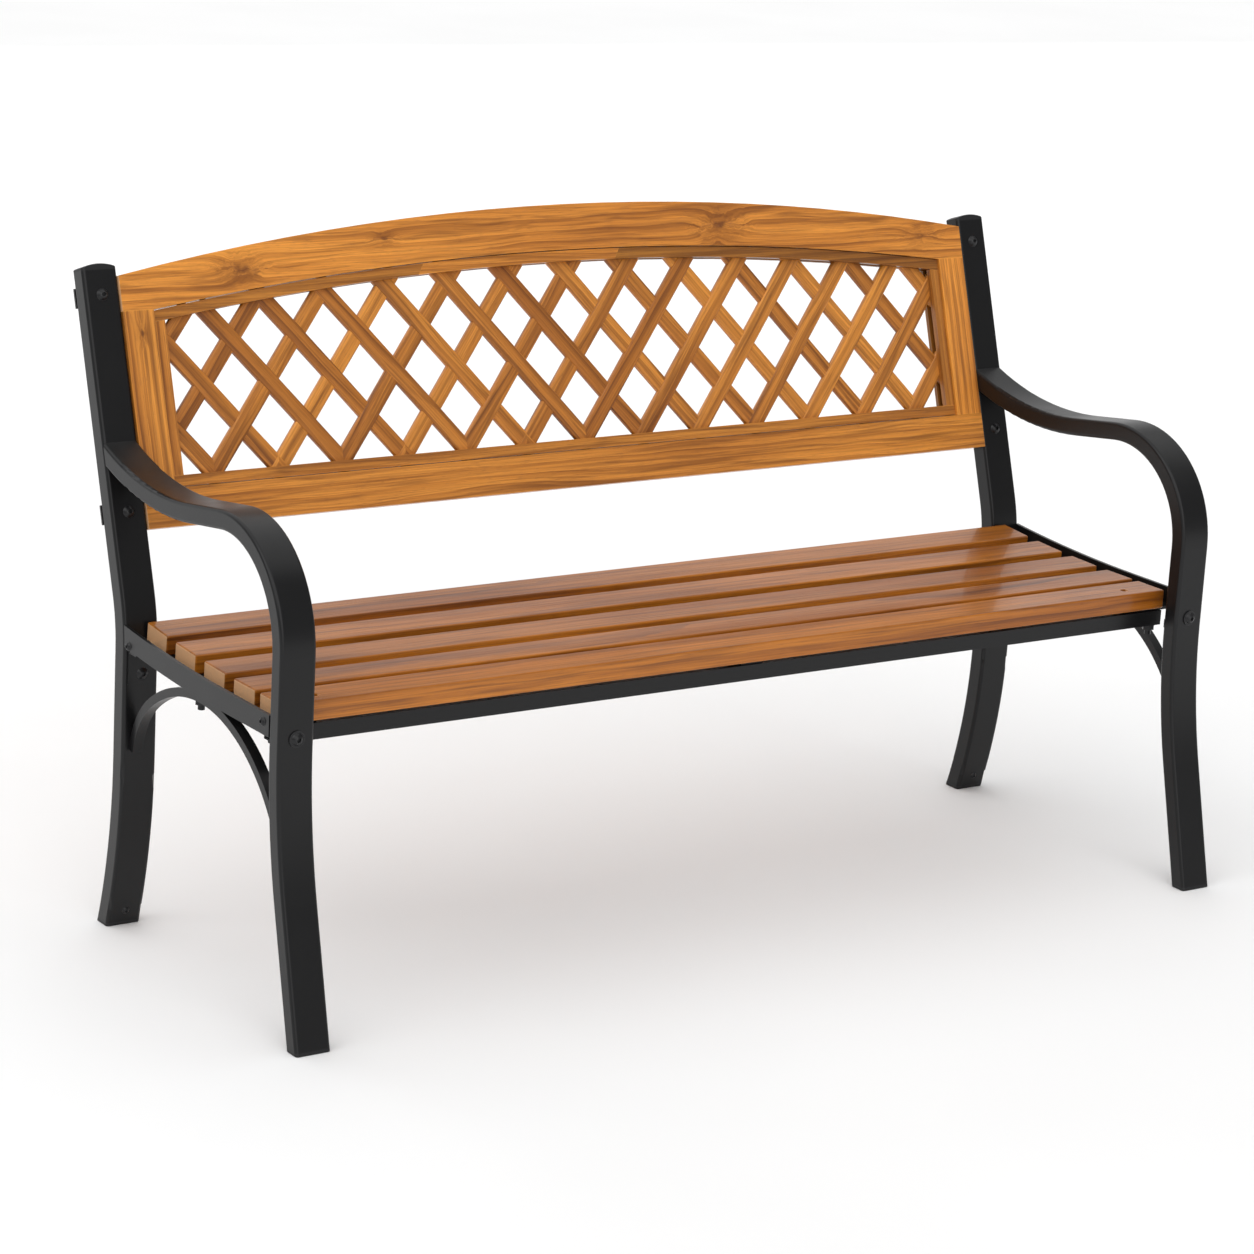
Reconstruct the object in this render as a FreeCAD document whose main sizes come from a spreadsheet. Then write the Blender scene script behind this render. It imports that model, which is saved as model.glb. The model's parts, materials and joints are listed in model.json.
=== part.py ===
"""Garden bench: two bent steel tube ends, slatted wooden seat and a lattice back panel.

Millimetres. +X runs along the bench, +Y to the back, +Z up. The origin is on the ground,
under the middle of the bench. Bent pieces are drawn as bands along a path in the YZ plane;
the back panel is drawn upright and leaned back with the posts.
"""
import FreeCAD, Part
import math
import os
import Sketcher

V = FreeCAD.Vector

DIMENSIONS = {
    # overall and tube
    "overall_width": 1270,
    "tube_width": 42,
    "post_tube_depth": 25,
    "arm_tube_depth": 22,
    "tube_wall": 2,
    "tube_corner": 4,
    # rear post, from the foot up
    "post_place": 138,
    "post_sweep_radius": 680,
    "post_sweep_drop": 149,
    "post_bend_drop": 21,
    "post_bend_radius": 190,
    "recline": 18,
    "post_upper_length": 358,
    # front leg and armrest, from the foot up
    "leg_place": -215,
    "leg_lean": 14,
    "leg_sweep_radius": 700,
    "leg_sweep_drop": 35,
    "arm_bend_lift": 61,
    "arm_bend_radius": 117,
    "arm_fall": 8,
    "arm_flat_length": 70,
    "arm_rise_radius": 411,
    "arm_rise": 22,
    # caps
    "foot_cap_height": 4,
    "foot_plug_height": 12,
    "plug_clearance": 0.3,
    "top_cap_rim": 3,
    "top_cap_crown": 4,
    "top_cap_round": 1.8,
    "foot_cap_round": 1.2,
    # seat
    "seat_height": 353,
    "slat_thickness": 23,
    "slat_width": 48,
    "slat_end_inset": 26,
    "slat_gap": 19.5,
    "front_slat_gap": 10,
    "front_slat_edge": -184,
    "slat_bed": 0.2,
    "slat_round": 2,
    "seat_curve_start": -98,
    "seat_curve_radius": 2300,
    "rail_thickness": 4,
    "rail_upstand": 20,
    "rail_flange_width": 55,
    "rail_flange_front_gap": 28,
    "rail_flange_rear_gap": 22,
    # cross rails under the seat
    "cross_rail_depth": 25,
    "cross_rail_height": 18,
    "cross_rail_inset": 23,
    "front_cross_place": -166,
    "rear_cross_place": 0,
    "strap_width": 30,
    "strap_thickness": 4,
    # arch brace
    "arch_inset": 9,
    "arch_width": 12,
    "arch_depth": 10,
    "arch_place": -36,
    "arch_front_turn": 68,
    "arch_rear_turn": 36,
    "arch_bite": 4,
    "arch_end_turn": 80,
    # brackets that hold the seat rails
    "bracket_thickness": 3,
    "bracket_reach": 20,
    "bracket_width": 34,
    "bracket_neck": 20,
    "bracket_shoulder_drop": 31,
    "front_bracket_drop": 41,
    "rear_bracket_drop": 59,
    "bracket_top_drop": 7,
    # back panel
    "panel_start": 68,
    "panel_proud": 2,
    "panel_thickness": 27,
    "panel_gap": 0.5,
    "bottom_rail_height": 43,
    "stile_width": 38,
    "stile_length": 199,
    "top_rail_end_height": 40,
    "top_rail_rise": 54,
    "opening_rise": 40,
    "tenon_length": 14,
    "tenon_width": 22,
    "tenon_thickness": 9,
    "tenon_clearance": 0.2,
    "mortise_mouth": 1,
    "bead_width": 12.5,
    "bead_gap": 1,
    "bead_recess": 3,
    "bead_thickness": 8,
    "bead_scarf": 8,
    "bead_joint_left": -200,
    "bead_joint_right": 74,
    # lattice
    "strip_width": 20,
    "strip_thickness": 8,
    "lattice_pitch": 83,
    "lattice_angle": 40,
    "lattice_change": 30,
    # panel straps
    "back_strap_length": 78,
    "back_strap_width": 22,
    "back_strap_thickness": 3,
    # fasteners
    "large_bolt": 8,
    "large_head": 14,
    "large_head_height": 4.4,
    "large_nut": 13,
    "large_nut_height": 6.5,
    "washer": 18,
    "washer_thickness": 1.6,
    "small_bolt": 6,
    "small_head": 10.5,
    "small_head_height": 3.3,
    "small_nut": 10,
    "small_nut_height": 5,
    "screw": 5,
    "screw_head": 9,
    "screw_head_height": 2.7,
    "hole_clearance": 0.5,
    "bolt_end": 3,
    "small_bolt_end": 1,
    "socket_share": 0.6,
    "stud_end": 6,
    "stud_sunk": 0.5,
    "rail_bolt_drop": 13,
    "front_rail_bolt_gap": 13,
    "rear_rail_bolt_gap": 10,
    "leg_bolt_drop": 25,
    "bracket_bolt_drop": 48,
    "foot_screw_height": 22,
    "cross_stud_inset": 31,
    "slat_screw_inset": 41,
    "slat_screw_offset": -8,
    "slat_screw_depth": 14,
    "front_screw_inset": 75,
    "front_screw_recess": 6,
}

SIDES = (-1, 1)
LEG_FACE = "(Dims.leg_place + Dims.arm_tube_depth / 2)"
POST_FACE = "(Dims.post_place - Dims.post_tube_depth / 2)"
RAIL_BOLT_HEIGHT = "Dims.seat_height - Dims.rail_bolt_drop"
FRONT_RAIL_BOLT = f"{LEG_FACE} + Dims.front_rail_bolt_gap"
REAR_RAIL_BOLT = f"{POST_FACE} - Dims.rear_rail_bolt_gap"
LEG_BOLT_HEIGHT = "Dims.seat_height - Dims.leg_bolt_drop"
BRACKET_BOLT_HEIGHT = "Dims.seat_height - Dims.bracket_bolt_drop"
CROSS_STUD_PLACE = "(Dims.overall_width / 2 - Dims.cross_stud_inset)"
SLAT_SCREW_PLACE = "(Dims.overall_width / 2 - Dims.slat_screw_inset)"
FRONT_SCREW_PLACE = "(Dims.overall_width / 2 - Dims.front_screw_inset)"
PANEL_HALF = "(Dims.overall_width / 2 - Dims.tube_width - Dims.panel_gap)"
STRAP_SCREW_PLACE = "(Dims.overall_width / 2 - Dims.tube_width - Dims.stile_width / 2)"
PANEL_BOLT_HEIGHTS = [
    "Dims.bottom_rail_height / 2",
    "Dims.bottom_rail_height + Dims.stile_length + Dims.top_rail_end_height / 2",
]
BACK_BEAD = "Dims.bead_thickness - Dims.bead_recess"
BACK_DEPTH = "Dims.bead_recess + Dims.bead_thickness + Dims.strip_thickness"

document = FreeCAD.newDocument("GardenBench")
sheet = document.addObject("Spreadsheet::Sheet", "Dims")
for row, (alias, value) in enumerate(DIMENSIONS.items(), start=1):
    sheet.set(f"A{row}", alias.replace("_", " "))
    sheet.set(f"B{row}", str(value))
    sheet.setAlias(f"B{row}", alias)
document.recompute()

subparts = []


def dim(alias):
    """One driving dimension, read from the sheet."""
    return float(sheet.get(alias))


def below_seat(alias):
    """Height of something that sits this far below the top of the seat's front."""
    return dim("seat_height") - dim(alias)


def inset(alias):
    """Distance from the bench's middle of something this far in from an end."""
    return dim("overall_width") / 2 - dim(alias)


def leg_face():
    """Rear face of the front leg at the seat."""
    return dim("leg_place") + dim("arm_tube_depth") / 2


def post_face():
    """Front face of the rear post at the seat."""
    return dim("post_place") - dim("post_tube_depth") / 2


def flange_ends():
    """Front and rear end of the side rails' flanges and of the centre strap."""
    return leg_face() + dim("rail_flange_front_gap"), post_face() - dim("rail_flange_rear_gap")


# ---------------------------------------------------------------- small helpers

def new_body(label, placement=None):
    body = document.addObject("PartDesign::Body", label)
    body.Label = label
    if placement is not None:
        body.Placement = placement
    subparts.append(body)
    return body


def new_group(label, solids):
    """Identical loose pieces that share one node, as separate solids."""
    feature = document.addObject("Part::Feature", label)
    feature.Label = label
    feature.Shape = Part.makeCompound(solids)
    subparts.append(feature)
    return feature


def new_sketch(body, role, offset=None):
    plane = next(item for item in body.Origin.OriginFeatures if item.Role == role)
    sketch = body.newObject("Sketcher::SketchObject", f"{body.Name}_sketch")
    sketch.AttachmentSupport = [(plane, "")]
    sketch.MapMode = "FlatFace"
    if offset is not None:
        sketch.AttachmentOffset = offset
    return sketch


def pad(body, sketch, length, side="One side", reverse=False):
    feature = body.newObject("PartDesign::Pad", f"{body.Name}_pad")
    feature.Profile = sketch
    feature.SideType = side
    feature.Reversed = reverse
    feature.setExpression("Length", length)
    return feature


def cut_through(body, sketch):
    feature = body.newObject("PartDesign::Pocket", f"{body.Name}_cut")
    feature.Profile = sketch
    feature.SideType = "Symmetric"
    feature.Type = "ThroughAll"
    return feature


def cut_depth(body, sketch, depth, reverse=False):
    feature = body.newObject("PartDesign::Pocket", f"{body.Name}_recess")
    feature.Profile = sketch
    feature.SideType = "One side"
    feature.Reversed = reverse
    feature.setExpression("Length", depth)
    return feature


def fix(sketch, kind, numbers, name, expression):
    """Add one driving constraint and tie it to the sheet."""
    index = sketch.addConstraint(Sketcher.Constraint(kind, *numbers, 1.0))
    sketch.renameConstraint(index, name)
    sketch.setExpression(f"Constraints.{name}", expression)


def rectangle(sketch, left, bottom, width, height):
    """A rectangle whose corner and sides are expressions of the sheet."""
    corners = [V(0, 0, 0), V(1, 0, 0), V(1, 1, 0), V(0, 1, 0)]
    first = sketch.GeometryCount
    for i in range(4):
        sketch.addGeometry(Part.LineSegment(corners[i], corners[(i + 1) % 4]), False)
    for i in range(4):
        sketch.addConstraint(Sketcher.Constraint("Coincident", first + i, 2, first + (i + 1) % 4, 1))
    for i in (0, 2):
        sketch.addConstraint(Sketcher.Constraint("Horizontal", first + i))
        sketch.addConstraint(Sketcher.Constraint("Vertical", first + i + 1))
    fix(sketch, "DistanceX", (-1, 1, first, 1), f"left{first}", left)
    fix(sketch, "DistanceY", (-1, 1, first, 1), f"bottom{first}", bottom)
    fix(sketch, "DistanceX", (first, 1, first, 2), f"width{first}", width)
    fix(sketch, "DistanceY", (first + 1, 1, first + 1, 2), f"height{first}", height)


def circle(sketch, across, along, radius):
    """A circle whose centre and radius are expressions of the sheet."""
    index = sketch.addGeometry(Part.Circle(V(0, 0, 0), V(0, 0, 1), 1), False)
    fix(sketch, "DistanceX", (-1, 1, index, 3), f"across{index}", across)
    fix(sketch, "DistanceY", (-1, 1, index, 3), f"along{index}", along)
    fix(sketch, "Radius", (index,), f"radius{index}", radius)


def outline(sketch, edges):
    for edge in edges:
        sketch.addGeometry(edge, False)


def polygon(points):
    """Straight edges through (across, along) points, closed."""
    corners = [V(a, b, 0) for a, b in points]
    return [Part.LineSegment(corners[i - 1], corners[i]) for i in range(len(corners))]


# ---------------------------------------------------------------- bent paths in the YZ plane

def heading(angle):
    """Direction for an angle from straight up, positive towards the back."""
    return V(math.sin(math.radians(angle)), math.cos(math.radians(angle)), 0)


def normal(angle):
    """Right-hand side of that direction: the back of an upright path."""
    return V(math.cos(math.radians(angle)), -math.sin(math.radians(angle)), 0)


def trace(start, angle, moves):
    """Follow lines (length,) and arcs (radius, turn) and return the path's stations."""
    stations = []
    point = start
    for move in moves:
        if len(move) == 1:
            after = point + heading(angle) * move[0]
            stations.append([(point, angle), (after, angle)])
        else:
            radius, turn = move
            hub = point + normal(angle) * math.copysign(radius, turn)
            marks = [(point, angle)]
            for share in (0.5, 1.0):
                swung = angle + turn * share
                marks.append((hub - normal(swung) * math.copysign(radius, turn), swung))
            stations.append(marks)
            after = marks[-1][0]
            angle = angle + turn
        point = after
    return stations


def offset_edges(path, distance):
    edges = []
    for marks in path:
        points = [point + normal(angle) * distance for point, angle in marks]
        if len(points) == 2:
            edges.append(Part.LineSegment(*points))
        else:
            edges.append(Part.Arc(*points))
    return edges


def band(path, front, back):
    """Closed outline between two offsets of a path."""
    edges = offset_edges(path, front) + offset_edges(path, back)
    for point, angle in (path[0][0], path[-1][-1]):
        edges.append(Part.LineSegment(point + normal(angle) * front, point + normal(angle) * back))
    return edges


def post_path():
    """Centre line of a rear post, from just below the ground to its top."""
    sweep_top = below_seat("post_sweep_drop")
    sweep = math.degrees(math.asin(sweep_top / dim("post_sweep_radius")))
    knee = V(dim("post_place"), sweep_top, 0)
    hub = knee + normal(0) * dim("post_sweep_radius")
    foot = hub - normal(-sweep) * dim("post_sweep_radius")
    start = foot - heading(-sweep) * dim("post_tube_depth")
    return trace(start, -sweep, [
        (dim("post_tube_depth"),),
        (dim("post_sweep_radius"), sweep),
        (dim("post_sweep_drop") - dim("post_bend_drop"),),
        (dim("post_bend_radius"), dim("recline")),
        (dim("post_upper_length"),),
    ])


def arm_path():
    """Centre line of front leg and armrest, from below the ground to inside the post."""
    lean = dim("leg_lean")
    radius = dim("leg_sweep_radius")
    rise = below_seat("leg_sweep_drop") - radius * math.sin(math.radians(lean))
    run = rise / math.cos(math.radians(lean))
    shift = radius * (1 - math.cos(math.radians(lean)))
    foot = V(dim("leg_place") - shift - rise * math.tan(math.radians(lean)), 0, 0)
    start = foot - heading(lean) * dim("arm_tube_depth")
    return trace(start, lean, [
        (run + dim("arm_tube_depth"),),
        (radius, -lean),
        (dim("arm_bend_lift") + dim("leg_sweep_drop"),),
        (dim("arm_bend_radius"), 90 + dim("arm_fall")),
        (dim("arm_flat_length"),),
        (dim("arm_rise_radius"), -dim("arm_fall") - dim("arm_rise")),
    ])


def seat_level():
    return dim("seat_height") - dim("slat_thickness")


def seat_turn(place):
    """Slope of the seat's underside at a place from front to back, in degrees."""
    past = max(0.0, place - dim("seat_curve_start"))
    return math.degrees(math.asin(past / dim("seat_curve_radius")))


def on_seat(place):
    """Placement on the seat's underside: level in front, rising gently behind."""
    turn = seat_turn(place)
    lift = dim("seat_curve_radius") * (1 - math.cos(math.radians(turn)))
    return FreeCAD.Placement(V(0, place, seat_level() + lift), FreeCAD.Rotation(V(1, 0, 0), turn))


def seat_path(front, back):
    """The seat's underside as a path towards the back; its right-hand side is below."""
    return trace(V(front, seat_level(), 0), 90, [
        (dim("seat_curve_start") - front,),
        (dim("seat_curve_radius"), -seat_turn(back)),
    ])


def post_band(inset=0.0):
    half = dim("post_tube_depth") / 2 - inset
    return band(post_path(), -half, half)


def arm_band(inset=0.0):
    half = dim("arm_tube_depth") / 2 - inset
    return band(arm_path(), -half, half)


def panel_placement():
    """Frame of the back panel: its bottom edge, on its front face, leaned back."""
    bend_end, angle = post_path()[-1][0]
    forward = dim("post_tube_depth") / 2 + dim("panel_proud")
    point = bend_end + heading(angle) * dim("panel_start") - normal(angle) * forward
    return FreeCAD.Placement(V(0, point.x, point.y), FreeCAD.Rotation(V(1, 0, 0), -angle))


def outer_face(side):
    """Expression for the low X side of a tube at one end of the bench."""
    return "-Dims.overall_width / 2" if side < 0 else "Dims.overall_width / 2 - Dims.tube_width"


def low_side(side):
    half = dim("overall_width") / 2
    return -half if side < 0 else half - dim("tube_width")


def in_from_end(side, inset, width=0.0):
    """Low X of something that starts inset from the outer face of an end and is width wide."""
    half = dim("overall_width") / 2
    return -half + inset if side < 0 else half - inset - width


def yz_sketch(body, across):
    """A sketch in a plane of constant X; its axes run to the back and up."""
    return new_sketch(body, "YZ_Plane", FreeCAD.Placement(V(0, 0, across), FreeCAD.Rotation()))


# ---------------------------------------------------------------- tubes

def round_long_edges(body, base, paths, half, faces):
    """Round the four long edges of a bent tube."""
    document.recompute()
    targets = []
    for edge in offset_edges(paths, -half) + offset_edges(paths, half):
        middle = edge.value((edge.FirstParameter + edge.LastParameter) / 2)
        targets.extend(V(face, middle.x, middle.y) for face in faces)
    names = []
    for index, edge in enumerate(base.Shape.Edges, start=1):
        middle = edge.valueAt((edge.FirstParameter + edge.LastParameter) / 2)
        if any(middle.distanceToPoint(target) < 0.01 for target in targets):
            names.append(f"Edge{index}")
    fillet = body.newObject("PartDesign::Fillet", f"{body.Name}_corner")
    fillet.Base = (base, names)
    fillet.setExpression("Radius", "Dims.tube_corner")
    return fillet


def bent_tube(body, side, path, half):
    """A hollow rectangular tube along a path, with rounded corners."""
    across = low_side(side)
    solid = yz_sketch(body, across)
    outline(solid, band(path, -half, half))
    base = pad(body, solid, "Dims.tube_width")
    round_long_edges(body, base, path, half, (across, across + dim("tube_width")))
    inside = half - dim("tube_wall")
    hollow = yz_sketch(body, across + dim("tube_width") / 2)
    outline(hollow, band(path, -inside, inside))
    bore = cut_depth(body, hollow, "Dims.tube_width - 2 * Dims.tube_wall")
    bore.SideType = "Symmetric"


def trim(body, edges):
    """Cut away whatever lies inside an outline in the YZ plane."""
    sketch = new_sketch(body, "YZ_Plane")
    outline(sketch, edges)
    cut_through(body, sketch)


def cut_foot(body):
    """Cut the tube's lower end level, at the height of the foot cap."""
    sketch = new_sketch(body, "YZ_Plane")
    rectangle(sketch, "-Dims.overall_width", "-Dims.overall_width",
              "2 * Dims.overall_width", "Dims.overall_width + Dims.foot_cap_height")
    cut_through(body, sketch)


def cross_holes(body, across, heights, diameter):
    """Holes from front to back; across and heights are expressions."""
    for height in heights:
        sketch = new_sketch(body, "XZ_Plane")
        circle(sketch, across, height, f"({diameter} + Dims.hole_clearance) / 2")
        cut_through(body, sketch)


def tube_middle(side):
    return f"{outer_face(side)} + Dims.tube_width / 2"


def rear_post(label, side):
    body = new_body(label)
    bent_tube(body, side, post_path(), dim("post_tube_depth") / 2)
    cut_foot(body)
    cross_holes(body, tube_middle(side), [BRACKET_BOLT_HEIGHT], "Dims.large_bolt")
    for height in PANEL_BOLT_HEIGHTS:
        sketch = panel_face_sketch(body)
        circle(sketch, tube_middle(side), height, "(Dims.large_bolt + Dims.hole_clearance) / 2")
        cut_through(body, sketch)


def front_leg(label, side):
    body = new_body(label)
    bent_tube(body, side, arm_path(), dim("arm_tube_depth") / 2)
    cut_foot(body)
    trim(body, post_band())
    cross_holes(body, tube_middle(side), [LEG_BOLT_HEIGHT], "Dims.large_bolt")


def panel_face_sketch(body):
    """A sketch on the panel's front face, in a body that isn't leaned back itself."""
    place = panel_placement()
    lean = FreeCAD.Rotation(V(1, 0, 0), -dim("recline"))
    return new_sketch(body, "XZ_Plane", FreeCAD.Placement(V(0, place.Base.z, -place.Base.y), lean))


# ---------------------------------------------------------------- caps

def is_upright(edge):
    """True for an edge that runs from the bottom to the top of a cap's rim."""
    box = edge.BoundBox
    return box.ZLength > box.XLength + box.YLength


def round_edges(body, base, radius, chosen):
    """Fillet the edges of a feature that a test picks out."""
    document.recompute()
    names = [f"Edge{index}" for index, edge in enumerate(base.Shape.Edges, start=1) if chosen(edge)]
    rounding = body.newObject("PartDesign::Fillet", f"{body.Name}_rounding")
    rounding.Base = (base, names)
    rounding.setExpression("Radius", radius)
    return rounding


def post_cap(label, side):
    """Plastic cap on a post: thin rim, low crown, plug inside the tube."""
    top, angle = post_path()[-1][-1]
    across = low_side(side) + dim("tube_width") / 2
    body = new_body(label, FreeCAD.Placement(V(across, top.x, top.y), FreeCAD.Rotation(V(1, 0, 0), -angle)))
    half = dim("tube_width") / 2
    rim = dim("top_cap_rim")
    crown = rim + dim("top_cap_crown")
    sketch = new_sketch(body, "XZ_Plane")
    outline(sketch, [
        Part.LineSegment(V(half, rim, 0), V(half, 0, 0)),
        Part.LineSegment(V(half, 0, 0), V(-half, 0, 0)),
        Part.LineSegment(V(-half, 0, 0), V(-half, rim, 0)),
        Part.Arc(V(-half, rim, 0), V(0, crown, 0), V(half, rim, 0)),
    ])
    shell = pad(body, sketch, "Dims.post_tube_depth", "Symmetric")
    shell = round_edges(body, shell, "Dims.tube_corner", is_upright)
    round_edges(body, shell, "Dims.top_cap_round", lambda edge: edge.BoundBox.ZMin > rim / 2)
    plug = new_sketch(body, "XY_Plane")
    depth = "Dims.post_tube_depth - 2 * Dims.tube_wall - 2 * Dims.plug_clearance"
    width = "Dims.tube_width - 2 * Dims.tube_wall - 2 * Dims.plug_clearance"
    rectangle(plug, f"-({width}) / 2", f"-({depth}) / 2", width, depth)
    pad(body, plug, "Dims.foot_plug_height", reverse=True)


def foot_cap(label, side, path, depth_alias):
    """Plastic cap under a leg: a flat sole and a plug that follows the tube."""
    half = dim(depth_alias) / 2
    angle = path[0][0][1]
    slope = math.tan(math.radians(angle))
    ground = path[0][0][0] + heading(angle) * dim(depth_alias)
    body = new_body(label)
    spread = half / math.cos(math.radians(angle))
    cap = dim("foot_cap_height")
    sole = yz_sketch(body, low_side(side))
    outline(sole, polygon([
        (ground.x - spread, 0), (ground.x + spread, 0),
        (ground.x + spread + cap * slope, cap), (ground.x - spread + cap * slope, cap),
    ]))
    base = pad(body, sole, "Dims.tube_width")
    base = round_edges(body, base, "Dims.tube_corner", is_upright)
    round_edges(body, base, "Dims.foot_cap_round", lambda edge: edge.BoundBox.ZMax < cap / 2)
    inside = (half - dim("tube_wall") - dim("plug_clearance")) / math.cos(math.radians(angle))
    high = cap + dim("foot_plug_height")
    plug = yz_sketch(body, low_side(side) + dim("tube_width") / 2)
    outline(plug, polygon([
        (ground.x - inside + cap * slope, cap), (ground.x + inside + cap * slope, cap),
        (ground.x + inside + high * slope, high), (ground.x - inside + high * slope, high),
    ]))
    pad(body, plug, "Dims.tube_width - 2 * Dims.tube_wall - 2 * Dims.plug_clearance", "Symmetric")
    return body


# ---------------------------------------------------------------- seat frame

def side_rail(label, side):
    """Steel angle between front leg and rear post: an outer upstand and a flange under the slats."""
    body = new_body(label)
    thickness = dim("rail_thickness")
    upstand = yz_sketch(body, in_from_end(side, 0, thickness))
    outline(upstand, band(seat_path(dim("leg_place"), dim("post_place")), -dim("rail_upstand"), thickness))
    pad(body, upstand, "Dims.rail_thickness")
    flange = yz_sketch(body, in_from_end(side, 0, dim("rail_flange_width")))
    outline(flange, band(seat_path(*flange_ends()), 0, thickness))
    pad(body, flange, "Dims.rail_flange_width")
    trim(body, post_band())
    trim(body, arm_band())
    bolts = new_sketch(body, "YZ_Plane")
    for place in (FRONT_RAIL_BOLT, REAR_RAIL_BOLT):
        circle(bolts, place, RAIL_BOLT_HEIGHT, "(Dims.small_bolt + Dims.hole_clearance) / 2")
    cut_through(body, bolts)
    flange_holes(body, side)


def flange_holes(body, side):
    """Holes up through the flange for slat screws and cross rail studs."""
    sign = "-" if side < 0 else ""
    drilled = new_sketch(body, "XY_Plane")
    for place in screwed_places():
        circle(drilled, f"{sign}{SLAT_SCREW_PLACE}", f"{place:.6f}",
               "Dims.screw / 2 + Dims.hole_clearance")
    for place in ("Dims.front_cross_place", "Dims.rear_cross_place"):
        circle(drilled, f"{sign}{CROSS_STUD_PLACE}", place, "Dims.large_bolt / 2 + Dims.hole_clearance")
    cut_through(body, drilled)


def arch_path():
    """Top of the arch brace, from inside the front leg to just inside the rear post's face."""
    front = dim("leg_place") - dim("arm_tube_depth") / 2
    reach = dim("arch_front_turn")
    radius = (dim("arch_place") - front) / math.sin(math.radians(reach))
    top = seat_level() - dim("rail_thickness")
    start = V(front, top - radius * (1 - math.cos(math.radians(reach))), 0)
    fall = dim("arch_rear_turn")
    share = math.sin(math.radians(fall))
    end_radius = (post_face() + dim("arch_bite") - dim("arch_place") - radius * share) / (1 - share)
    return trace(start, 90 - reach, [(radius, reach + fall), (end_radius, dim("arch_end_turn") - fall)])


def arch_brace(label, side):
    """Square bar bent to an arch that touches the side rail and meets leg and post."""
    body = new_body(label)
    sketch = yz_sketch(body, in_from_end(side, dim("arch_inset"), dim("arch_width")))
    outline(sketch, band(arch_path(), 0, dim("arch_depth")))
    pad(body, sketch, "Dims.arch_width")
    trim(body, post_band())
    trim(body, arm_band())


def bracket_leaf(body, side, width, near, depth, low, high):
    """One upright rectangle of a bracket, starting at the seat rail's inside."""
    leaf = new_sketch(body, "XY_Plane")
    left = "-Dims.overall_width / 2 + Dims.rail_thickness"
    if side > 0:
        left = f"Dims.overall_width / 2 - Dims.rail_thickness - {width}"
    rectangle(leaf, left, near, width, depth)
    leaf.setExpression("AttachmentOffset.Base.z", low)
    pad(body, leaf, f"{high} - {low}")


def rail_bracket(label, side, rear):
    """Bent plate: a leaf on the post or leg, narrow beside the slat, and one along the rail."""
    body = new_body(label)
    low = "(Dims.seat_height - Dims.front_bracket_drop)"
    near = LEG_FACE
    begin = LEG_FACE
    height = LEG_BOLT_HEIGHT
    place = FRONT_RAIL_BOLT
    if rear:
        low = "(Dims.seat_height - Dims.rear_bracket_drop)"
        near = f"{POST_FACE} - Dims.bracket_thickness"
        begin = f"{POST_FACE} - Dims.bracket_reach"
        height = BRACKET_BOLT_HEIGHT
        place = REAR_RAIL_BOLT
    shoulder = "(Dims.seat_height - Dims.bracket_shoulder_drop)"
    high = "(Dims.seat_height - Dims.bracket_top_drop)"
    bracket_leaf(body, side, "Dims.bracket_width", near, "Dims.bracket_thickness", low, shoulder)
    bracket_leaf(body, side, "Dims.bracket_neck", near, "Dims.bracket_thickness", shoulder, high)
    bracket_leaf(body, side, "Dims.bracket_thickness", begin, "Dims.bracket_reach",
                 "(Dims.seat_height - Dims.slat_thickness)", high)
    cross_holes(body, tube_middle(side), [height], "Dims.large_bolt")
    bolt = new_sketch(body, "YZ_Plane")
    circle(bolt, place, RAIL_BOLT_HEIGHT, "(Dims.small_bolt + Dims.hole_clearance) / 2")
    cut_through(body, bolt)
    trim(body, post_band() if rear else arm_band())


def cross_rail(label, place):
    """Rectangular tube across the bench, bolted up under both side rails."""
    body = new_body(label, on_seat(place))
    bottom = "-Dims.rail_thickness - Dims.cross_rail_height"
    ring = new_sketch(body, "YZ_Plane")
    rectangle(ring, "-Dims.cross_rail_depth / 2", bottom, "Dims.cross_rail_depth", "Dims.cross_rail_height")
    pad(body, ring, "Dims.overall_width - 2 * Dims.cross_rail_inset", "Symmetric")
    bore = new_sketch(body, "YZ_Plane")
    inside = "Dims.cross_rail_depth - 2 * Dims.tube_wall"
    rectangle(bore, f"-({inside}) / 2", f"{bottom} + Dims.tube_wall", inside,
              "Dims.cross_rail_height - 2 * Dims.tube_wall")
    cut_through(body, bore)
    studs = new_sketch(body, "XY_Plane")
    for sign in ("-", ""):
        circle(studs, f"{sign}{CROSS_STUD_PLACE}", "0", "(Dims.large_bolt + Dims.hole_clearance) / 2")
    cut_through(body, studs)
    if place < dim("seat_curve_start"):
        front_screw_holes(body)


def front_screw_holes(body):
    """Holes in the front cross rail's top wall for the screws through the front slat."""
    sketch = new_sketch(body, "XY_Plane")
    for sign in ("-", ""):
        circle(sketch, f"{sign}{FRONT_SCREW_PLACE}", "0", "Dims.screw / 2")
    sketch.setExpression("AttachmentOffset.Base.z", "-Dims.rail_thickness - Dims.tube_wall")
    cut_depth(body, sketch, "Dims.tube_wall", reverse=True)


def centre_strap(label):
    """Flat bar under the middle of the slats, resting on the cross rails."""
    body = new_body(label)
    sketch = new_sketch(body, "YZ_Plane")
    thickness = dim("strap_thickness")
    outline(sketch, band(seat_path(*flange_ends()), 0, thickness))
    pad(body, sketch, "Dims.strap_width", "Symmetric")
    drilled = new_sketch(body, "XY_Plane")
    for place in screwed_places():
        circle(drilled, "0", f"{place:.6f}", "Dims.screw / 2 + Dims.hole_clearance")
    cut_through(body, drilled)


# ---------------------------------------------------------------- seat slats

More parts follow.
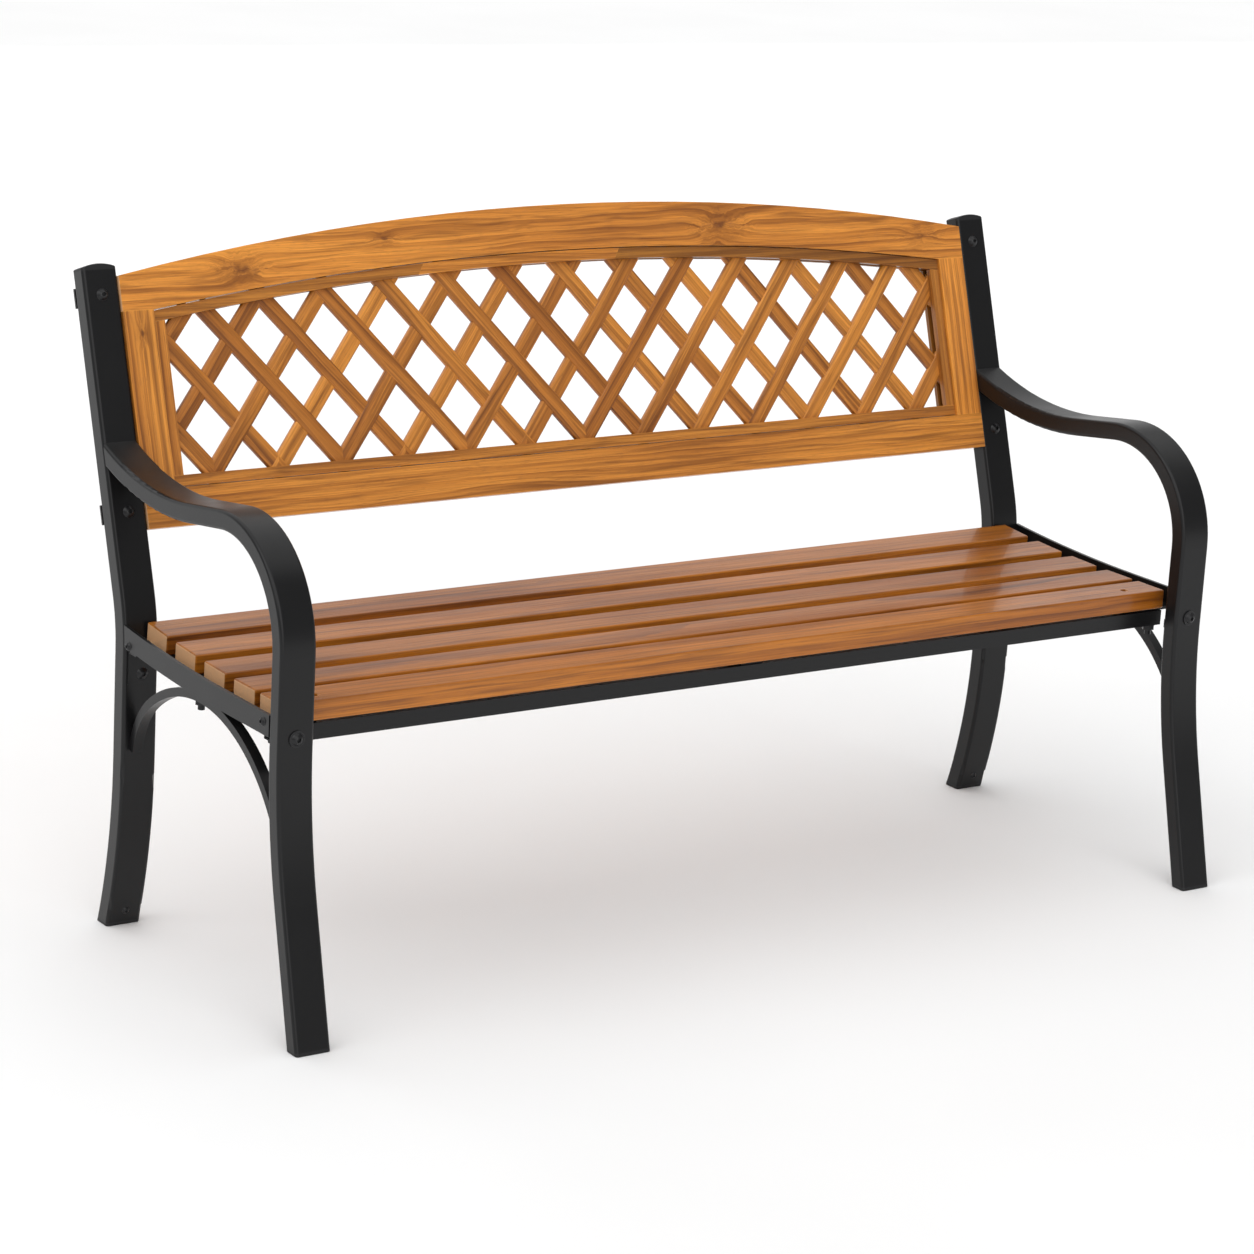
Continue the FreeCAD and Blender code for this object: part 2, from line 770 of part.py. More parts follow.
def slat_places():
    """Middle of each slat, from the back to the front."""
    width = dim("slat_width")
    places = [dim("front_slat_edge") + width / 2]
    places.append(places[-1] + width + dim("front_slat_gap"))
    for _ in range(3):
        places.append(places[-1] + width + dim("slat_gap"))
    return places[::-1]


def screwed_places():
    """Screws from below, one line for each slat but the front one."""
    return [on_seat(place).multVec(V(0, dim("slat_screw_offset"), 0)).y for place in slat_places()[:-1]]


def seat_slat(label, place, front):
    """Wooden slat lying on the rails, with its screw holes."""
    body = new_body(label, on_seat(place))
    sketch = new_sketch(body, "YZ_Plane")
    rectangle(sketch, "-Dims.slat_width / 2", "Dims.slat_bed", "Dims.slat_width",
              "Dims.slat_thickness - Dims.slat_bed")
    board = pad(body, sketch, "Dims.overall_width - 2 * Dims.slat_end_inset", "Symmetric")
    round_edges(body, board, "Dims.slat_round", lambda edge: True)
    if not front:
        holes = new_sketch(body, "XY_Plane")
        for across in (f"-{SLAT_SCREW_PLACE}", "0", SLAT_SCREW_PLACE):
            circle(holes, across, "Dims.slat_screw_offset", "Dims.screw / 2")
        cut_depth(body, holes, "Dims.slat_screw_depth", reverse=True)
    else:
        shanks = new_sketch(body, "XY_Plane")
        heads = new_sketch(body, "XY_Plane")
        centre = f"Dims.front_cross_place - ({place:.6f})"
        for sign in ("-", ""):
            across = f"{sign}{FRONT_SCREW_PLACE}"
            circle(shanks, across, centre, "(Dims.screw + Dims.hole_clearance) / 2")
            circle(heads, across, centre, "(Dims.screw_head + Dims.hole_clearance) / 2")
        cut_through(body, shanks)
        heads.setExpression("AttachmentOffset.Base.z", "Dims.slat_thickness")
        cut_depth(body, heads, "Dims.front_screw_recess")


# ---------------------------------------------------------------- back panel

def panel_body(label):
    return new_body(label, panel_placement())


def face_sketch(body, depth="0"):
    """A sketch parallel to the panel's front face, this far behind it."""
    sketch = new_sketch(body, "XZ_Plane")
    sketch.setExpression("AttachmentOffset.Base.z", f"-({depth})")
    return sketch


def plate(body, sketch, thickness):
    return pad(body, sketch, thickness, reverse=True)


def panel_half():
    return dim("overall_width") / 2 - dim("tube_width") - dim("panel_gap")


def opening_half():
    return panel_half() - dim("stile_width")


def opening_arc():
    """Centre height and radius of the opening's curved top."""
    rise = dim("opening_rise")
    radius = (opening_half() ** 2 + rise ** 2) / (2 * rise)
    shoulder = dim("bottom_rail_height") + dim("stile_length")
    return shoulder + rise - radius, radius


def arch_height(across, inset=0.0):
    """Height of the opening's top at a place, moved in by inset."""
    centre, radius = opening_arc()
    return centre + math.sqrt((radius - inset) ** 2 - across ** 2)


def arc_between(start, end, inset):
    """Arc edge of the opening's top between two places."""
    middle = (start + end) / 2
    points = [V(x, arch_height(x, inset), 0) for x in (start, middle, end)]
    return Part.Arc(*points)


def panel_top_rail(label):
    """Top rail: straight shoulders over the stiles, arched above and below."""
    body = panel_body(label)
    half = panel_half()
    inner = opening_half()
    shoulder = dim("bottom_rail_height") + dim("stile_length")
    end_top = shoulder + dim("top_rail_end_height")
    crown = end_top + dim("top_rail_rise")
    sketch = face_sketch(body)
    outline(sketch, [
        Part.LineSegment(V(-half, shoulder, 0), V(-inner, shoulder, 0)),
        arc_between(-inner, inner, 0.0),
        Part.LineSegment(V(inner, shoulder, 0), V(half, shoulder, 0)),
        Part.LineSegment(V(half, shoulder, 0), V(half, end_top, 0)),
        Part.Arc(V(half, end_top, 0), V(0, crown, 0), V(-half, end_top, 0)),
        Part.LineSegment(V(-half, end_top, 0), V(-half, shoulder, 0)),
    ])
    plate(body, sketch, "Dims.panel_thickness")
    mortises(body, "Dims.bottom_rail_height + Dims.stile_length - Dims.mortise_mouth")
    strap_screw_holes(body, PANEL_BOLT_HEIGHTS[1])


def panel_bottom_rail(label):
    body = panel_body(label)
    sketch = face_sketch(body)
    rectangle(sketch, f"-{PANEL_HALF}", "0", f"2 * {PANEL_HALF}", "Dims.bottom_rail_height")
    plate(body, sketch, "Dims.panel_thickness")
    mortises(body, "Dims.bottom_rail_height - Dims.tenon_length - Dims.tenon_clearance")
    strap_screw_holes(body, PANEL_BOLT_HEIGHTS[0])


def mortises(body, low):
    """Slots for both stiles' tenons, in a rail."""
    width = "(Dims.tenon_width + 2 * Dims.tenon_clearance)"
    thickness = "(Dims.tenon_thickness + 2 * Dims.tenon_clearance)"
    height = "Dims.tenon_length + Dims.tenon_clearance + Dims.mortise_mouth"
    for sign in ("-", ""):
        sketch = face_sketch(body, f"(Dims.panel_thickness - {thickness}) / 2")
        centre = f"{sign}({PANEL_HALF} - Dims.stile_width / 2)"
        rectangle(sketch, f"{centre} - {width} / 2", low, width, height)
        cut_depth(body, sketch, thickness)


def strap_screw_holes(body, height):
    """Pilot holes in the back of a rail for the strap screws."""
    sketch = face_sketch(body, "Dims.panel_thickness")
    for sign in ("-", ""):
        circle(sketch, f"{sign}{STRAP_SCREW_PLACE}", height, "Dims.screw / 2")
    cut_depth(body, sketch, "Dims.slat_screw_depth", reverse=True)


def panel_stile(label, side):
    """Upright end of the panel with a tenon at each end."""
    body = panel_body(label)
    sketch = face_sketch(body)
    left = f"-{PANEL_HALF}" if side < 0 else f"{PANEL_HALF} - Dims.stile_width"
    rectangle(sketch, left, "Dims.bottom_rail_height", "Dims.stile_width", "Dims.stile_length")
    plate(body, sketch, "Dims.panel_thickness")
    tenon = face_sketch(body, "(Dims.panel_thickness - Dims.tenon_thickness) / 2")
    shoulder = "(Dims.stile_width - Dims.tenon_width) / 2"
    rectangle(tenon, f"{left} + {shoulder}", "Dims.bottom_rail_height - Dims.tenon_length",
              "Dims.tenon_width", "Dims.stile_length + 2 * Dims.tenon_length")
    plate(body, tenon, "Dims.tenon_thickness")


def bead(label, edges, depth):
    """Thin strip around the opening, in front of or behind the lattice."""
    body = panel_body(label)
    sketch = face_sketch(body, depth)
    outline(sketch, edges)
    plate(body, sketch, "Dims.bead_thickness" if depth == "Dims.bead_recess" else BACK_BEAD)


def top_bead_edges(start, end, cut_start, cut_end):
    """Curved bead between two places; a cut leans its end for a scarf joint."""
    outer = dim("bead_gap")
    inner = outer + dim("bead_width")
    low_start, low_end = start + cut_start, end + cut_end
    return [
        arc_between(start, end, outer),
        arc_between(low_start, low_end, inner),
        Part.LineSegment(V(start, arch_height(start, outer), 0),
                         V(low_start, arch_height(low_start, inner), 0)),
        Part.LineSegment(V(end, arch_height(end, outer), 0),
                         V(low_end, arch_height(low_end, inner), 0)),
    ]


def side_bead_edges(side):
    """Upright bead between the bottom bead and the curved one."""
    outer = opening_half() - dim("bead_gap")
    inner = outer - dim("bead_width")
    low = dim("bottom_rail_height") + dim("bead_gap") + dim("bead_width")
    fit = dim("bead_gap") + dim("bead_width") + dim("tenon_clearance")
    return polygon([
        (side * outer, low), (side * inner, low),
        (side * inner, arch_height(inner, fit)), (side * outer, arch_height(outer, fit)),
    ])


def bottom_bead_edges():
    half = opening_half() - dim("bead_gap")
    low = dim("bottom_rail_height") + dim("bead_gap")
    high = low + dim("bead_width")
    return polygon([(-half, low), (half, low), (half, high), (-half, high)])


def beads():
    half = opening_half() - dim("bead_gap")
    scarf = dim("bead_scarf")
    left, right = dim("bead_joint_left"), dim("bead_joint_right")
    front = "Dims.bead_recess"
    gap = dim("tenon_clearance")
    bead("front_bead_top_left", top_bead_edges(-half, left - gap, 0, -scarf), front)
    bead("front_bead_top_middle", top_bead_edges(left, right - gap, -scarf, -scarf), front)
    bead("front_bead_top_right", top_bead_edges(right, half, -scarf, 0), front)
    bead("front_bead_bottom", bottom_bead_edges(), front)
    bead("front_bead_left", side_bead_edges(-1), front)
    bead("front_bead_right", side_bead_edges(1), front)
    bead("back_bead_top", top_bead_edges(-half, half, 0, 0), BACK_DEPTH)
    bead("back_bead_bottom", bottom_bead_edges(), BACK_DEPTH)
    bead("back_bead_left", side_bead_edges(-1), BACK_DEPTH)
    bead("back_bead_right", side_bead_edges(1), BACK_DEPTH)


# ---------------------------------------------------------------- lattice

def lattice_field():
    """The opening as a solid, as deep as the strips, a little smaller all round."""
    gap = dim("bead_gap")
    half = opening_half() - gap
    low = dim("bottom_rail_height") + gap
    corners = [V(half, arch_height(half, gap), 0), V(half, low, 0),
               V(-half, low, 0), V(-half, arch_height(half, gap), 0)]
    edges = [Part.LineSegment(corners[i], corners[i + 1]).toShape() for i in range(3)]
    edges.append(arc_between(-half, half, gap).toShape())
    face = Part.Face(Part.Wire(Part.__sortEdges__(edges)))
    return face.extrude(V(0, 0, dim("strip_thickness")))


def lattice_strip(foot, lean, front=True, back=True):
    """A long strip that crosses the lower bead's edge at foot; lean +1 rises to the right.

    Without its front or back it is the half that a lap joint removes.
    """
    thickness = dim("strip_thickness")
    low = 0.0 if front else thickness / 2
    high = thickness if back else thickness / 2
    length = 2 * (dim("stile_length") + dim("opening_rise")) / math.cos(math.radians(dim("lattice_angle")))
    strip = Part.makeBox(dim("strip_width"), length, high - low, V(-dim("strip_width") / 2, -length / 3, low))
    strip.rotate(V(0, 0, 0), V(0, 0, 1), -lean * dim("lattice_angle"))
    bead_top = dim("bottom_rail_height") + dim("bead_gap") + dim("bead_width")
    strip.translate(V(foot, bead_top, 0))
    return strip


def lattice_feet(lean):
    """Where strips of one direction cross the lower bead's edge."""
    pitch = dim("lattice_pitch")
    reach = (dim("stile_length") + dim("opening_rise")) * math.tan(math.radians(dim("lattice_angle")))
    half = opening_half()
    count = int((half + reach) // pitch) + 1
    feet = [pitch * index for index in range(-count, count + 1)]
    return [foot for foot in feet if -half < foot < half or -half < foot + lean * reach * 0.7 < half]


def crossing(rising_foot, falling_foot):
    """Place along the panel where two strips cross."""
    return (rising_foot + falling_foot) / 2


def rising_in_front(rising_foot, falling_foot):
    """Which strip keeps its front face at a crossing."""
    place = crossing(rising_foot, falling_foot)
    row = round((falling_foot - rising_foot) / dim("lattice_pitch"))
    return place > dim("lattice_change") or (row == 1 and round(rising_foot / dim("lattice_pitch")) % 2 == 0)


def lattice_layer(label, lean):
    """All strips of one direction, half-lapped where they cross the others."""
    field = lattice_field()
    solids = []
    for foot in lattice_feet(lean):
        laps = []
        for other in lattice_feet(-lean):
            rising, falling = (foot, other) if lean > 0 else (other, foot)
            own_front = rising_in_front(rising, falling) == (lean > 0)
            laps.append(lattice_strip(other, -lean, front=not own_front, back=own_front))
        strip = lattice_strip(foot, lean).common(field)
        if strip.Volume < dim("strip_width") ** 2 * dim("strip_thickness") / 2:
            continue
        strip = strip.cut(laps)
        solids.extend(solid for solid in strip.Solids if solid.Volume > dim("strip_thickness") ** 3)
    upright = FreeCAD.Placement(V(0, dim("bead_recess") + dim("bead_thickness") + dim("strip_thickness"), 0),
                                FreeCAD.Rotation(V(1, 0, 0), 90))
    layer = new_group(label, [solid.transformed(upright.toMatrix()) for solid in solids])
    layer.Placement = panel_placement()


# ---------------------------------------------------------------- straps behind the panel

def back_strap(label, side, height):
    """Flat strap behind post and panel: bolted through the post, screwed to the rail."""
    body = panel_body(label)
    behind = "Dims.panel_thickness"
    sketch = face_sketch(body, behind)
    left = "-Dims.overall_width / 2" if side < 0 else "Dims.overall_width / 2 - Dims.back_strap_length"
    rectangle(sketch, left, f"{height} - Dims.back_strap_width / 2", "Dims.back_strap_length",
              "Dims.back_strap_width")
    plate(body, sketch, "Dims.back_strap_thickness")
    holes = face_sketch(body, behind)
    circle(holes, tube_middle(side), height, "(Dims.large_bolt + Dims.hole_clearance) / 2")
    sign = "-" if side < 0 else ""
    circle(holes, f"{sign}{STRAP_SCREW_PLACE}", height, "(Dims.screw + Dims.hole_clearance) / 2")
    cut_through(body, holes)


# ---------------------------------------------------------------- fasteners

def socket(width, depth):
    """Hexagonal recess of a socket head, from the origin down."""
    corners = [V(width / math.sqrt(3) * math.cos(math.radians(60 * i)),
                 width / math.sqrt(3) * math.sin(math.radians(60 * i)), 0) for i in range(7)]
    return Part.Face(Part.makePolygon(corners)).extrude(V(0, 0, -depth))


def button_bolt(diameter, head, height, length):
    """Domed socket bolt along +Z: the head's underside is at the origin, the head below it."""
    shank = Part.makeCylinder(diameter / 2, length)
    dome_radius = (head ** 2 / 4 + height ** 2) / (2 * height)
    ball = Part.makeSphere(dome_radius, V(0, 0, dome_radius - height))
    cap = Part.makeCylinder(head / 2, height, V(0, 0, -height)).common(ball)
    tool = socket(diameter * dim("socket_share"), height * dim("socket_share"))
    tool.rotate(V(0, 0, 0), V(1, 0, 0), 180)
    tool.translate(V(0, 0, -height))
    return cap.fuse(shank).cut(tool)


def nut(across_flats, height, bore):
    """Hexagonal nut along +Z from the origin."""
    body = socket(across_flats, height)
    body.translate(V(0, 0, height))
    return body.cut(Part.makeCylinder(bore / 2, height))


def ring(outer, inner, height):
    return Part.makeCylinder(outer / 2, height).cut(Part.makeCylinder(inner / 2, height))


def placed(shape, point, direction):
    """Copy of a fastener moved to point, with its +Z turned to direction."""
    copy = shape.copy()
    turn = FreeCAD.Placement(point, FreeCAD.Rotation(V(0, 0, 1), direction))
    copy.transformShape(turn.toMatrix(), True)
    return copy


def tube_centre(side):
    return side * (dim("overall_width") - dim("tube_width")) / 2


def panel_point(across, depth, height):
    return panel_placement().multVec(V(across, depth, height))


def panel_bolt_levels():
    shoulder = dim("bottom_rail_height") + dim("stile_length")
    return [dim("bottom_rail_height") / 2, shoulder + dim("top_rail_end_height") / 2]


def large_nut():
    return nut(dim("large_nut"), dim("large_nut_height"), dim("large_bolt"))


def large_bolt(grip):
    length = grip + dim("large_nut_height") + dim("bolt_end")
    return button_bolt(dim("large_bolt"), dim("large_head"), dim("large_head_height"), length)


def post_fasteners():
    """Bolts through the posts into the straps behind; returns the bolts and the nuts."""
    lean = panel_placement().Rotation.multVec(V(0, 1, 0))
    grip = dim("post_tube_depth") + dim("back_strap_thickness")
    bolts, nuts = [], []
    for side in SIDES:
        for level in panel_bolt_levels():
            face = panel_point(tube_centre(side), dim("panel_proud"), level)
            bolts.append(placed(large_bolt(grip), face, lean))
            nuts.append(placed(large_nut(), face + lean * grip, lean))
    return bolts, nuts


def bracket_fasteners():
    """Bolts through bracket and rear post."""
    grip = dim("post_tube_depth") + dim("bracket_thickness")
    front = post_face() - dim("bracket_thickness")
    bolts, nuts = [], []
    for side in SIDES:
        point = V(tube_centre(side), front, below_seat("bracket_bolt_drop"))
        bolts.append(placed(large_bolt(grip), point, V(0, 1, 0)))
        nuts.append(placed(large_nut(), point + V(0, grip, 0), V(0, 1, 0)))
    return bolts, nuts


def leg_fasteners():
    """Bolts with washers through the front legs and their brackets."""
    washer = dim("washer_thickness")
    grip = dim("arm_tube_depth") + dim("bracket_thickness") + washer
    front = dim("leg_place") - dim("arm_tube_depth") / 2 - washer
    shim = ring(dim("washer"), dim("large_bolt"), washer)
    bolts, washers, nuts = [], [], []
    for side in SIDES:
        point = V(tube_centre(side), front, below_seat("leg_bolt_drop"))
        washers.append(placed(shim, point, V(0, 1, 0)))
        bolts.append(placed(large_bolt(grip), point, V(0, 1, 0)))
        nuts.append(placed(large_nut(), point + V(0, grip, 0), V(0, 1, 0)))
    return bolts, washers, nuts


def rail_fasteners():
    """Small bolts through the side rails' upstands and the brackets."""
    grip = dim("rail_thickness") + dim("bracket_thickness")
    length = grip + dim("small_nut_height") + dim("small_bolt_end")
    bolt = button_bolt(dim("small_bolt"), dim("small_head"), dim("small_head_height"), length)
    small_nut = nut(dim("small_nut"), dim("small_nut_height"), dim("small_bolt"))
    places = (leg_face() + dim("front_rail_bolt_gap"), post_face() - dim("rear_rail_bolt_gap"))
    bolts, nuts = [], []
    for side in SIDES:
        for place in places:
            point = V(side * dim("overall_width") / 2, place, below_seat("rail_bolt_drop"))
            bolts.append(placed(bolt, point, V(-side, 0, 0)))
            nuts.append(placed(small_nut, point + V(-side * grip, 0, 0), V(-side, 0, 0)))
    return bolts, nuts


def cross_rail_fasteners():
    """Studs welded in the side rails that hold the cross rails up, with washers and nuts."""
    grip = dim("rail_thickness") + dim("cross_rail_height")
    washer = dim("washer_thickness")
    length = grip + washer + dim("large_nut_height") + dim("stud_end") - dim("stud_sunk")
    stud = Part.makeCylinder(dim("large_bolt") / 2, length)
    shim = ring(dim("washer"), dim("large_bolt"), washer)
    studs, washers, nuts = [], [], []
    for side in SIDES:
        for alias in ("front_cross_place", "rear_cross_place"):
            place = on_seat(dim(alias))
            down = place.Rotation.multVec(V(0, 0, -1))
            point = place.multVec(V(side * inset("cross_stud_inset"), 0, 0))
            studs.append(placed(stud, point + down * dim("stud_sunk"), down))
            washers.append(placed(shim, point + down * grip, down))
            nuts.append(placed(large_nut(), point + down * (grip + washer), down))
    return studs, washers, nuts


def wood_screw(grip, depth):
    """Domed screw along +Z from its head's underside; grip is the metal it passes."""
    return button_bolt(dim("screw"), dim("screw_head"), dim("screw_head_height"), grip + depth)


def slat_screws():
    screws = []
    screw = wood_screw(dim("rail_thickness"), dim("slat_screw_depth"))
    for place in slat_places()[:-1]:
        seat = on_seat(place)
        up = seat.Rotation.multVec(V(0, 0, 1))
        for across in (-inset("slat_screw_inset"), 0, inset("slat_screw_inset")):
            point = V(across, dim("slat_screw_offset"), -dim("rail_thickness"))
            screws.append(placed(screw, seat.multVec(point), up))
    return screws


def front_slat_screws():
    """Screws from above, sunk in the front slat and held by the front cross rail."""
    sunk = dim("seat_height") - dim("front_screw_recess")
    length = dim("slat_thickness") - dim("front_screw_recess") + dim("rail_thickness") + dim("tube_wall")
    screw = button_bolt(dim("screw"), dim("screw_head"), dim("screw_head_height"), length)
    across = inset("front_screw_inset")
    return [placed(screw, V(side * across, dim("front_cross_place"), sunk), V(0, 0, -1))
            for side in SIDES]


def strap_screws():
    lean = panel_placement().Rotation.multVec(V(0, -1, 0))
    screw = wood_screw(dim("back_strap_thickness"), dim("slat_screw_depth"))
    across = dim("overall_width") / 2 - dim("tube_width") - dim("stile_width") / 2
    depth = dim("panel_thickness") + dim("back_strap_thickness")
    return [placed(screw, panel_point(side * across, depth, level), lean)
            for side in SIDES for level in panel_bolt_levels()]


def foot_screw_point():
    """Point and inward direction of the screw in a rear foot's front face."""
    radius = dim("post_sweep_radius")
    sweep_top = below_seat("post_sweep_drop")
    hub = V(dim("post_place") + radius, sweep_top, 0)
    angle = math.degrees(math.asin((sweep_top - dim("foot_screw_height")) / radius))
    point = hub - normal(-angle) * (radius + dim("post_tube_depth") / 2)
    return point, normal(-angle)


def foot_fasteners():
    """Short screws through the rear feet's front walls into the caps' plugs."""
    point, inward = foot_screw_point()
    length = dim("tube_wall") + dim("plug_clearance") + dim("screw")
    screw = button_bolt(dim("screw"), dim("screw_head"), dim("screw_head_height"), length)
    return [placed(screw, V(tube_centre(side), point.x, point.y), V(0, inward.x, inward.y))
            for side in SIDES]


def foot_screw_hole(body, side):
    """Hole for the foot screw, square to the foot's front face."""
    point, inward = foot_screw_point()
    tilt = math.degrees(math.atan2(inward.y, inward.x))
    lean = FreeCAD.Rotation(V(1, 0, 0), tilt)
    sketch = new_sketch(body, "XZ_Plane", FreeCAD.Placement(V(0, point.y, -point.x), lean))
    circle(sketch, tube_middle(side), "0", "Dims.screw / 2")
    cut_depth(body, sketch, "Dims.tube_wall + Dims.plug_clearance + Dims.screw")


# ---------------------------------------------------------------- assembly

def steel_end(name, side):
    rear_post(f"rear_post_{name}", side)
    foot_screw_hole(subparts[-1], side)
    front_leg(f"front_leg_and_armrest_{name}", side)
    side_rail(f"seat_side_rail_{name}", side)
    arch_brace(f"arch_brace_{name}", side)
    rail_bracket(f"front_rail_bracket_{name}", side, rear=False)
    rail_bracket(f"rear_rail_bracket_{name}", side, rear=True)
    post_cap(f"post_cap_{name}", side)
    rear_cap = foot_cap(f"rear_foot_cap_{name}", side, post_path(), "post_tube_depth")
    foot_screw_hole(rear_cap, side)
    foot_cap(f"front_foot_cap_{name}", side, arm_path(), "arm_tube_depth")


def seat():
    cross_rail("front_cross_rail", dim("front_cross_place"))
    cross_rail("rear_cross_rail", dim("rear_cross_place"))
    centre_strap("centre_slat_strap")
    places = slat_places()
    for number, place in enumerate(places, start=1):
        seat_slat(f"seat_slat_{number}", place, front=number == len(places))


def back_panel():
    panel_top_rail("panel_top_rail")
    panel_bottom_rail("panel_bottom_rail")
    panel_stile("panel_stile_left", -1)
    panel_stile("panel_stile_right", 1)
    beads()
    lattice_layer("lattice_rising", 1)
    lattice_layer("lattice_falling", -1)
    for name, side in (("left", -1), ("right", 1)):
        for level, height in zip(("lower", "upper"), PANEL_BOLT_HEIGHTS):
            back_strap(f"back_strap_{level}_{name}", side, height)


def fasteners():
    post_bolts, post_nuts = post_fasteners()
    bracket_bolts, bracket_nuts = bracket_fasteners()
    leg_bolts, leg_washers, leg_nuts = leg_fasteners()
    rail_bolts, rail_nuts = rail_fasteners()
    studs, stud_washers, stud_nuts = cross_rail_fasteners()
    new_group("post_bolts", post_bolts)
    new_group("bracket_bolts", bracket_bolts)
    new_group("leg_bolts", leg_bolts)
    new_group("rail_bolts", rail_bolts)
    new_group("cross_rail_studs", studs)
    new_group("washers", leg_washers + stud_washers)
    new_group("large_nuts", post_nuts + bracket_nuts + leg_nuts + stud_nuts)
    new_group("small_nuts", rail_nuts)
    new_group("slat_screws", slat_screws())
    new_group("front_slat_screws", front_slat_screws())
    new_group("back_strap_screws", strap_screws())
    new_group("foot_screws", foot_fasteners())


def check_and_write():
    document.recompute()
    for item in document.Objects:
        if "Invalid" in item.State or "Error" in item.State:
            raise RuntimeError(f"{item.Label} failed: {item.State}")
    for part in subparts:
        if part.Shape.isNull() or not part.Shape.isValid() or not part.Shape.Solids:
            raise RuntimeError(f"{part.Label} has no valid solid")
    os.makedirs("parts", exist_ok=True)
    for part in subparts:
        part.Shape.exportStep(os.path.join("parts", f"{part.Label}.step"))


for end_name, end_side in (("left", -1), ("right", 1)):
    steel_end(end_name, end_side)
seat()
back_panel()
fasteners()
check_and_write()
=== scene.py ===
"""Looks of the garden bench: varnished hardwood on satin black steel ends.

Metres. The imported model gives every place; the finishes read object coordinates.
"""

import json
import math

import bpy
from mathutils import Matrix, Vector


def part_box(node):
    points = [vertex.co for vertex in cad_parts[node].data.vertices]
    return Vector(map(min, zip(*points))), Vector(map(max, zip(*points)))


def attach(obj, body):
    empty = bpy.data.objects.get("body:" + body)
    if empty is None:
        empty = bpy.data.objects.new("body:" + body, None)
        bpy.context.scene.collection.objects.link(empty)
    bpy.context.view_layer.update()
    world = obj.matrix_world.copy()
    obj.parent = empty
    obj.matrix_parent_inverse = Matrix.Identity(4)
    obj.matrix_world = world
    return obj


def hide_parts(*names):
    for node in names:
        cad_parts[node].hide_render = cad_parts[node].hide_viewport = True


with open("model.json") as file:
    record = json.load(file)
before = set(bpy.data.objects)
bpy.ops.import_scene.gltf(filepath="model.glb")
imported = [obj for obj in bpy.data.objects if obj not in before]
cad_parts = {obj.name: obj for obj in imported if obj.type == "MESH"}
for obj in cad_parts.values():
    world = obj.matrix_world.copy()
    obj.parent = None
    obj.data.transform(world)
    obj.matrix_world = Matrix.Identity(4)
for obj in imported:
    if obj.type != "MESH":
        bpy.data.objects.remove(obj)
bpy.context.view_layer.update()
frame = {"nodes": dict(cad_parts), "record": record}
nodes = frame["nodes"]

RECLINE = math.radians(18)
PANEL_THICKNESS = 0.027
PANEL_UP = Vector((0.0, math.sin(RECLINE), math.cos(RECLINE)))
PANEL_BACK = Vector((0.0, math.cos(RECLINE), -math.sin(RECLINE)))
ALONG = Vector((1.0, 0.0, 0.0))
rail_low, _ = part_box("panel_bottom_rail")
PANEL_FOOT = Vector((0.0, rail_low[1], rail_low[2] + PANEL_THICKNESS * math.sin(RECLINE)))


# ---------------------------------------------------------------- node trees

class Bench:
    """Adds nodes to a tree and links or fills their inputs."""

    def __init__(self, tree):
        self.tree = tree

    def node(self, kind, inputs=None, **settings):
        made = self.tree.nodes.new(kind)
        for name, value in settings.items():
            setattr(made, name, value)
        for name, value in (inputs or {}).items():
            self.feed(made.inputs[name], value)
        return made

    def feed(self, socket, value):
        if isinstance(value, bpy.types.NodeSocket):
            self.tree.links.new(value, socket)
        else:
            socket.default_value = value

    def math(self, operation, *values, clamp=False):
        made = self.node("ShaderNodeMath", dict(enumerate(values)), operation=operation, use_clamp=clamp)
        return made.outputs[0]

    def vector(self, operation, *values):
        made = self.node("ShaderNodeVectorMath", dict(enumerate(values)), operation=operation)
        return made.outputs[1 if operation in ("DOT_PRODUCT", "LENGTH") else 0]

    def scaled(self, vector, factor):
        made = self.node("ShaderNodeVectorMath", {0: vector, "Scale": factor}, operation="SCALE")
        return made.outputs[0]

    def mix(self, share, first, second, blend="MIX"):
        made = self.node("ShaderNodeMix", data_type="RGBA", blend_type=blend)
        self.feed(made.inputs[0], share)
        self.feed(made.inputs[6], first)
        self.feed(made.inputs[7], second)
        return made.outputs[2]

    def spread(self, value, low, high, to_low=0.0, to_high=1.0):
        """value from low to high becomes to_low to to_high, held at both ends."""
        made = self.node("ShaderNodeMapRange", {0: value, 1: low, 2: high, 3: to_low, 4: to_high},
                         interpolation_type="SMOOTHSTEP")
        return made.outputs[0]

    def noise(self, vector, shift=0.0, detail=2.0, roughness=0.5):
        return self.node("ShaderNodeTexNoise", {"Vector": vector, "W": shift, "Scale": 1.0, "Detail": detail,
                                                "Roughness": roughness}, noise_dimensions="4D")


def shader_group(name, inputs, outputs):
    """A new shader node group; returns its Bench, its inputs and a function that sets its outputs."""
    tree = bpy.data.node_groups.new(name, "ShaderNodeTree")
    kinds = {"number": "NodeSocketFloat", "vector": "NodeSocketVector", "colour": "NodeSocketColor"}
    for label, kind in inputs:
        tree.interface.new_socket(label, in_out="INPUT", socket_type=kinds[kind])
    for label, kind in outputs:
        tree.interface.new_socket(label, in_out="OUTPUT", socket_type=kinds[kind])
    bench = Bench(tree)
    entry = bench.node("NodeGroupInput").outputs
    leave = bench.node("NodeGroupOutput").inputs
    return bench, entry, lambda label, value: tree.links.new(value, leave[label])


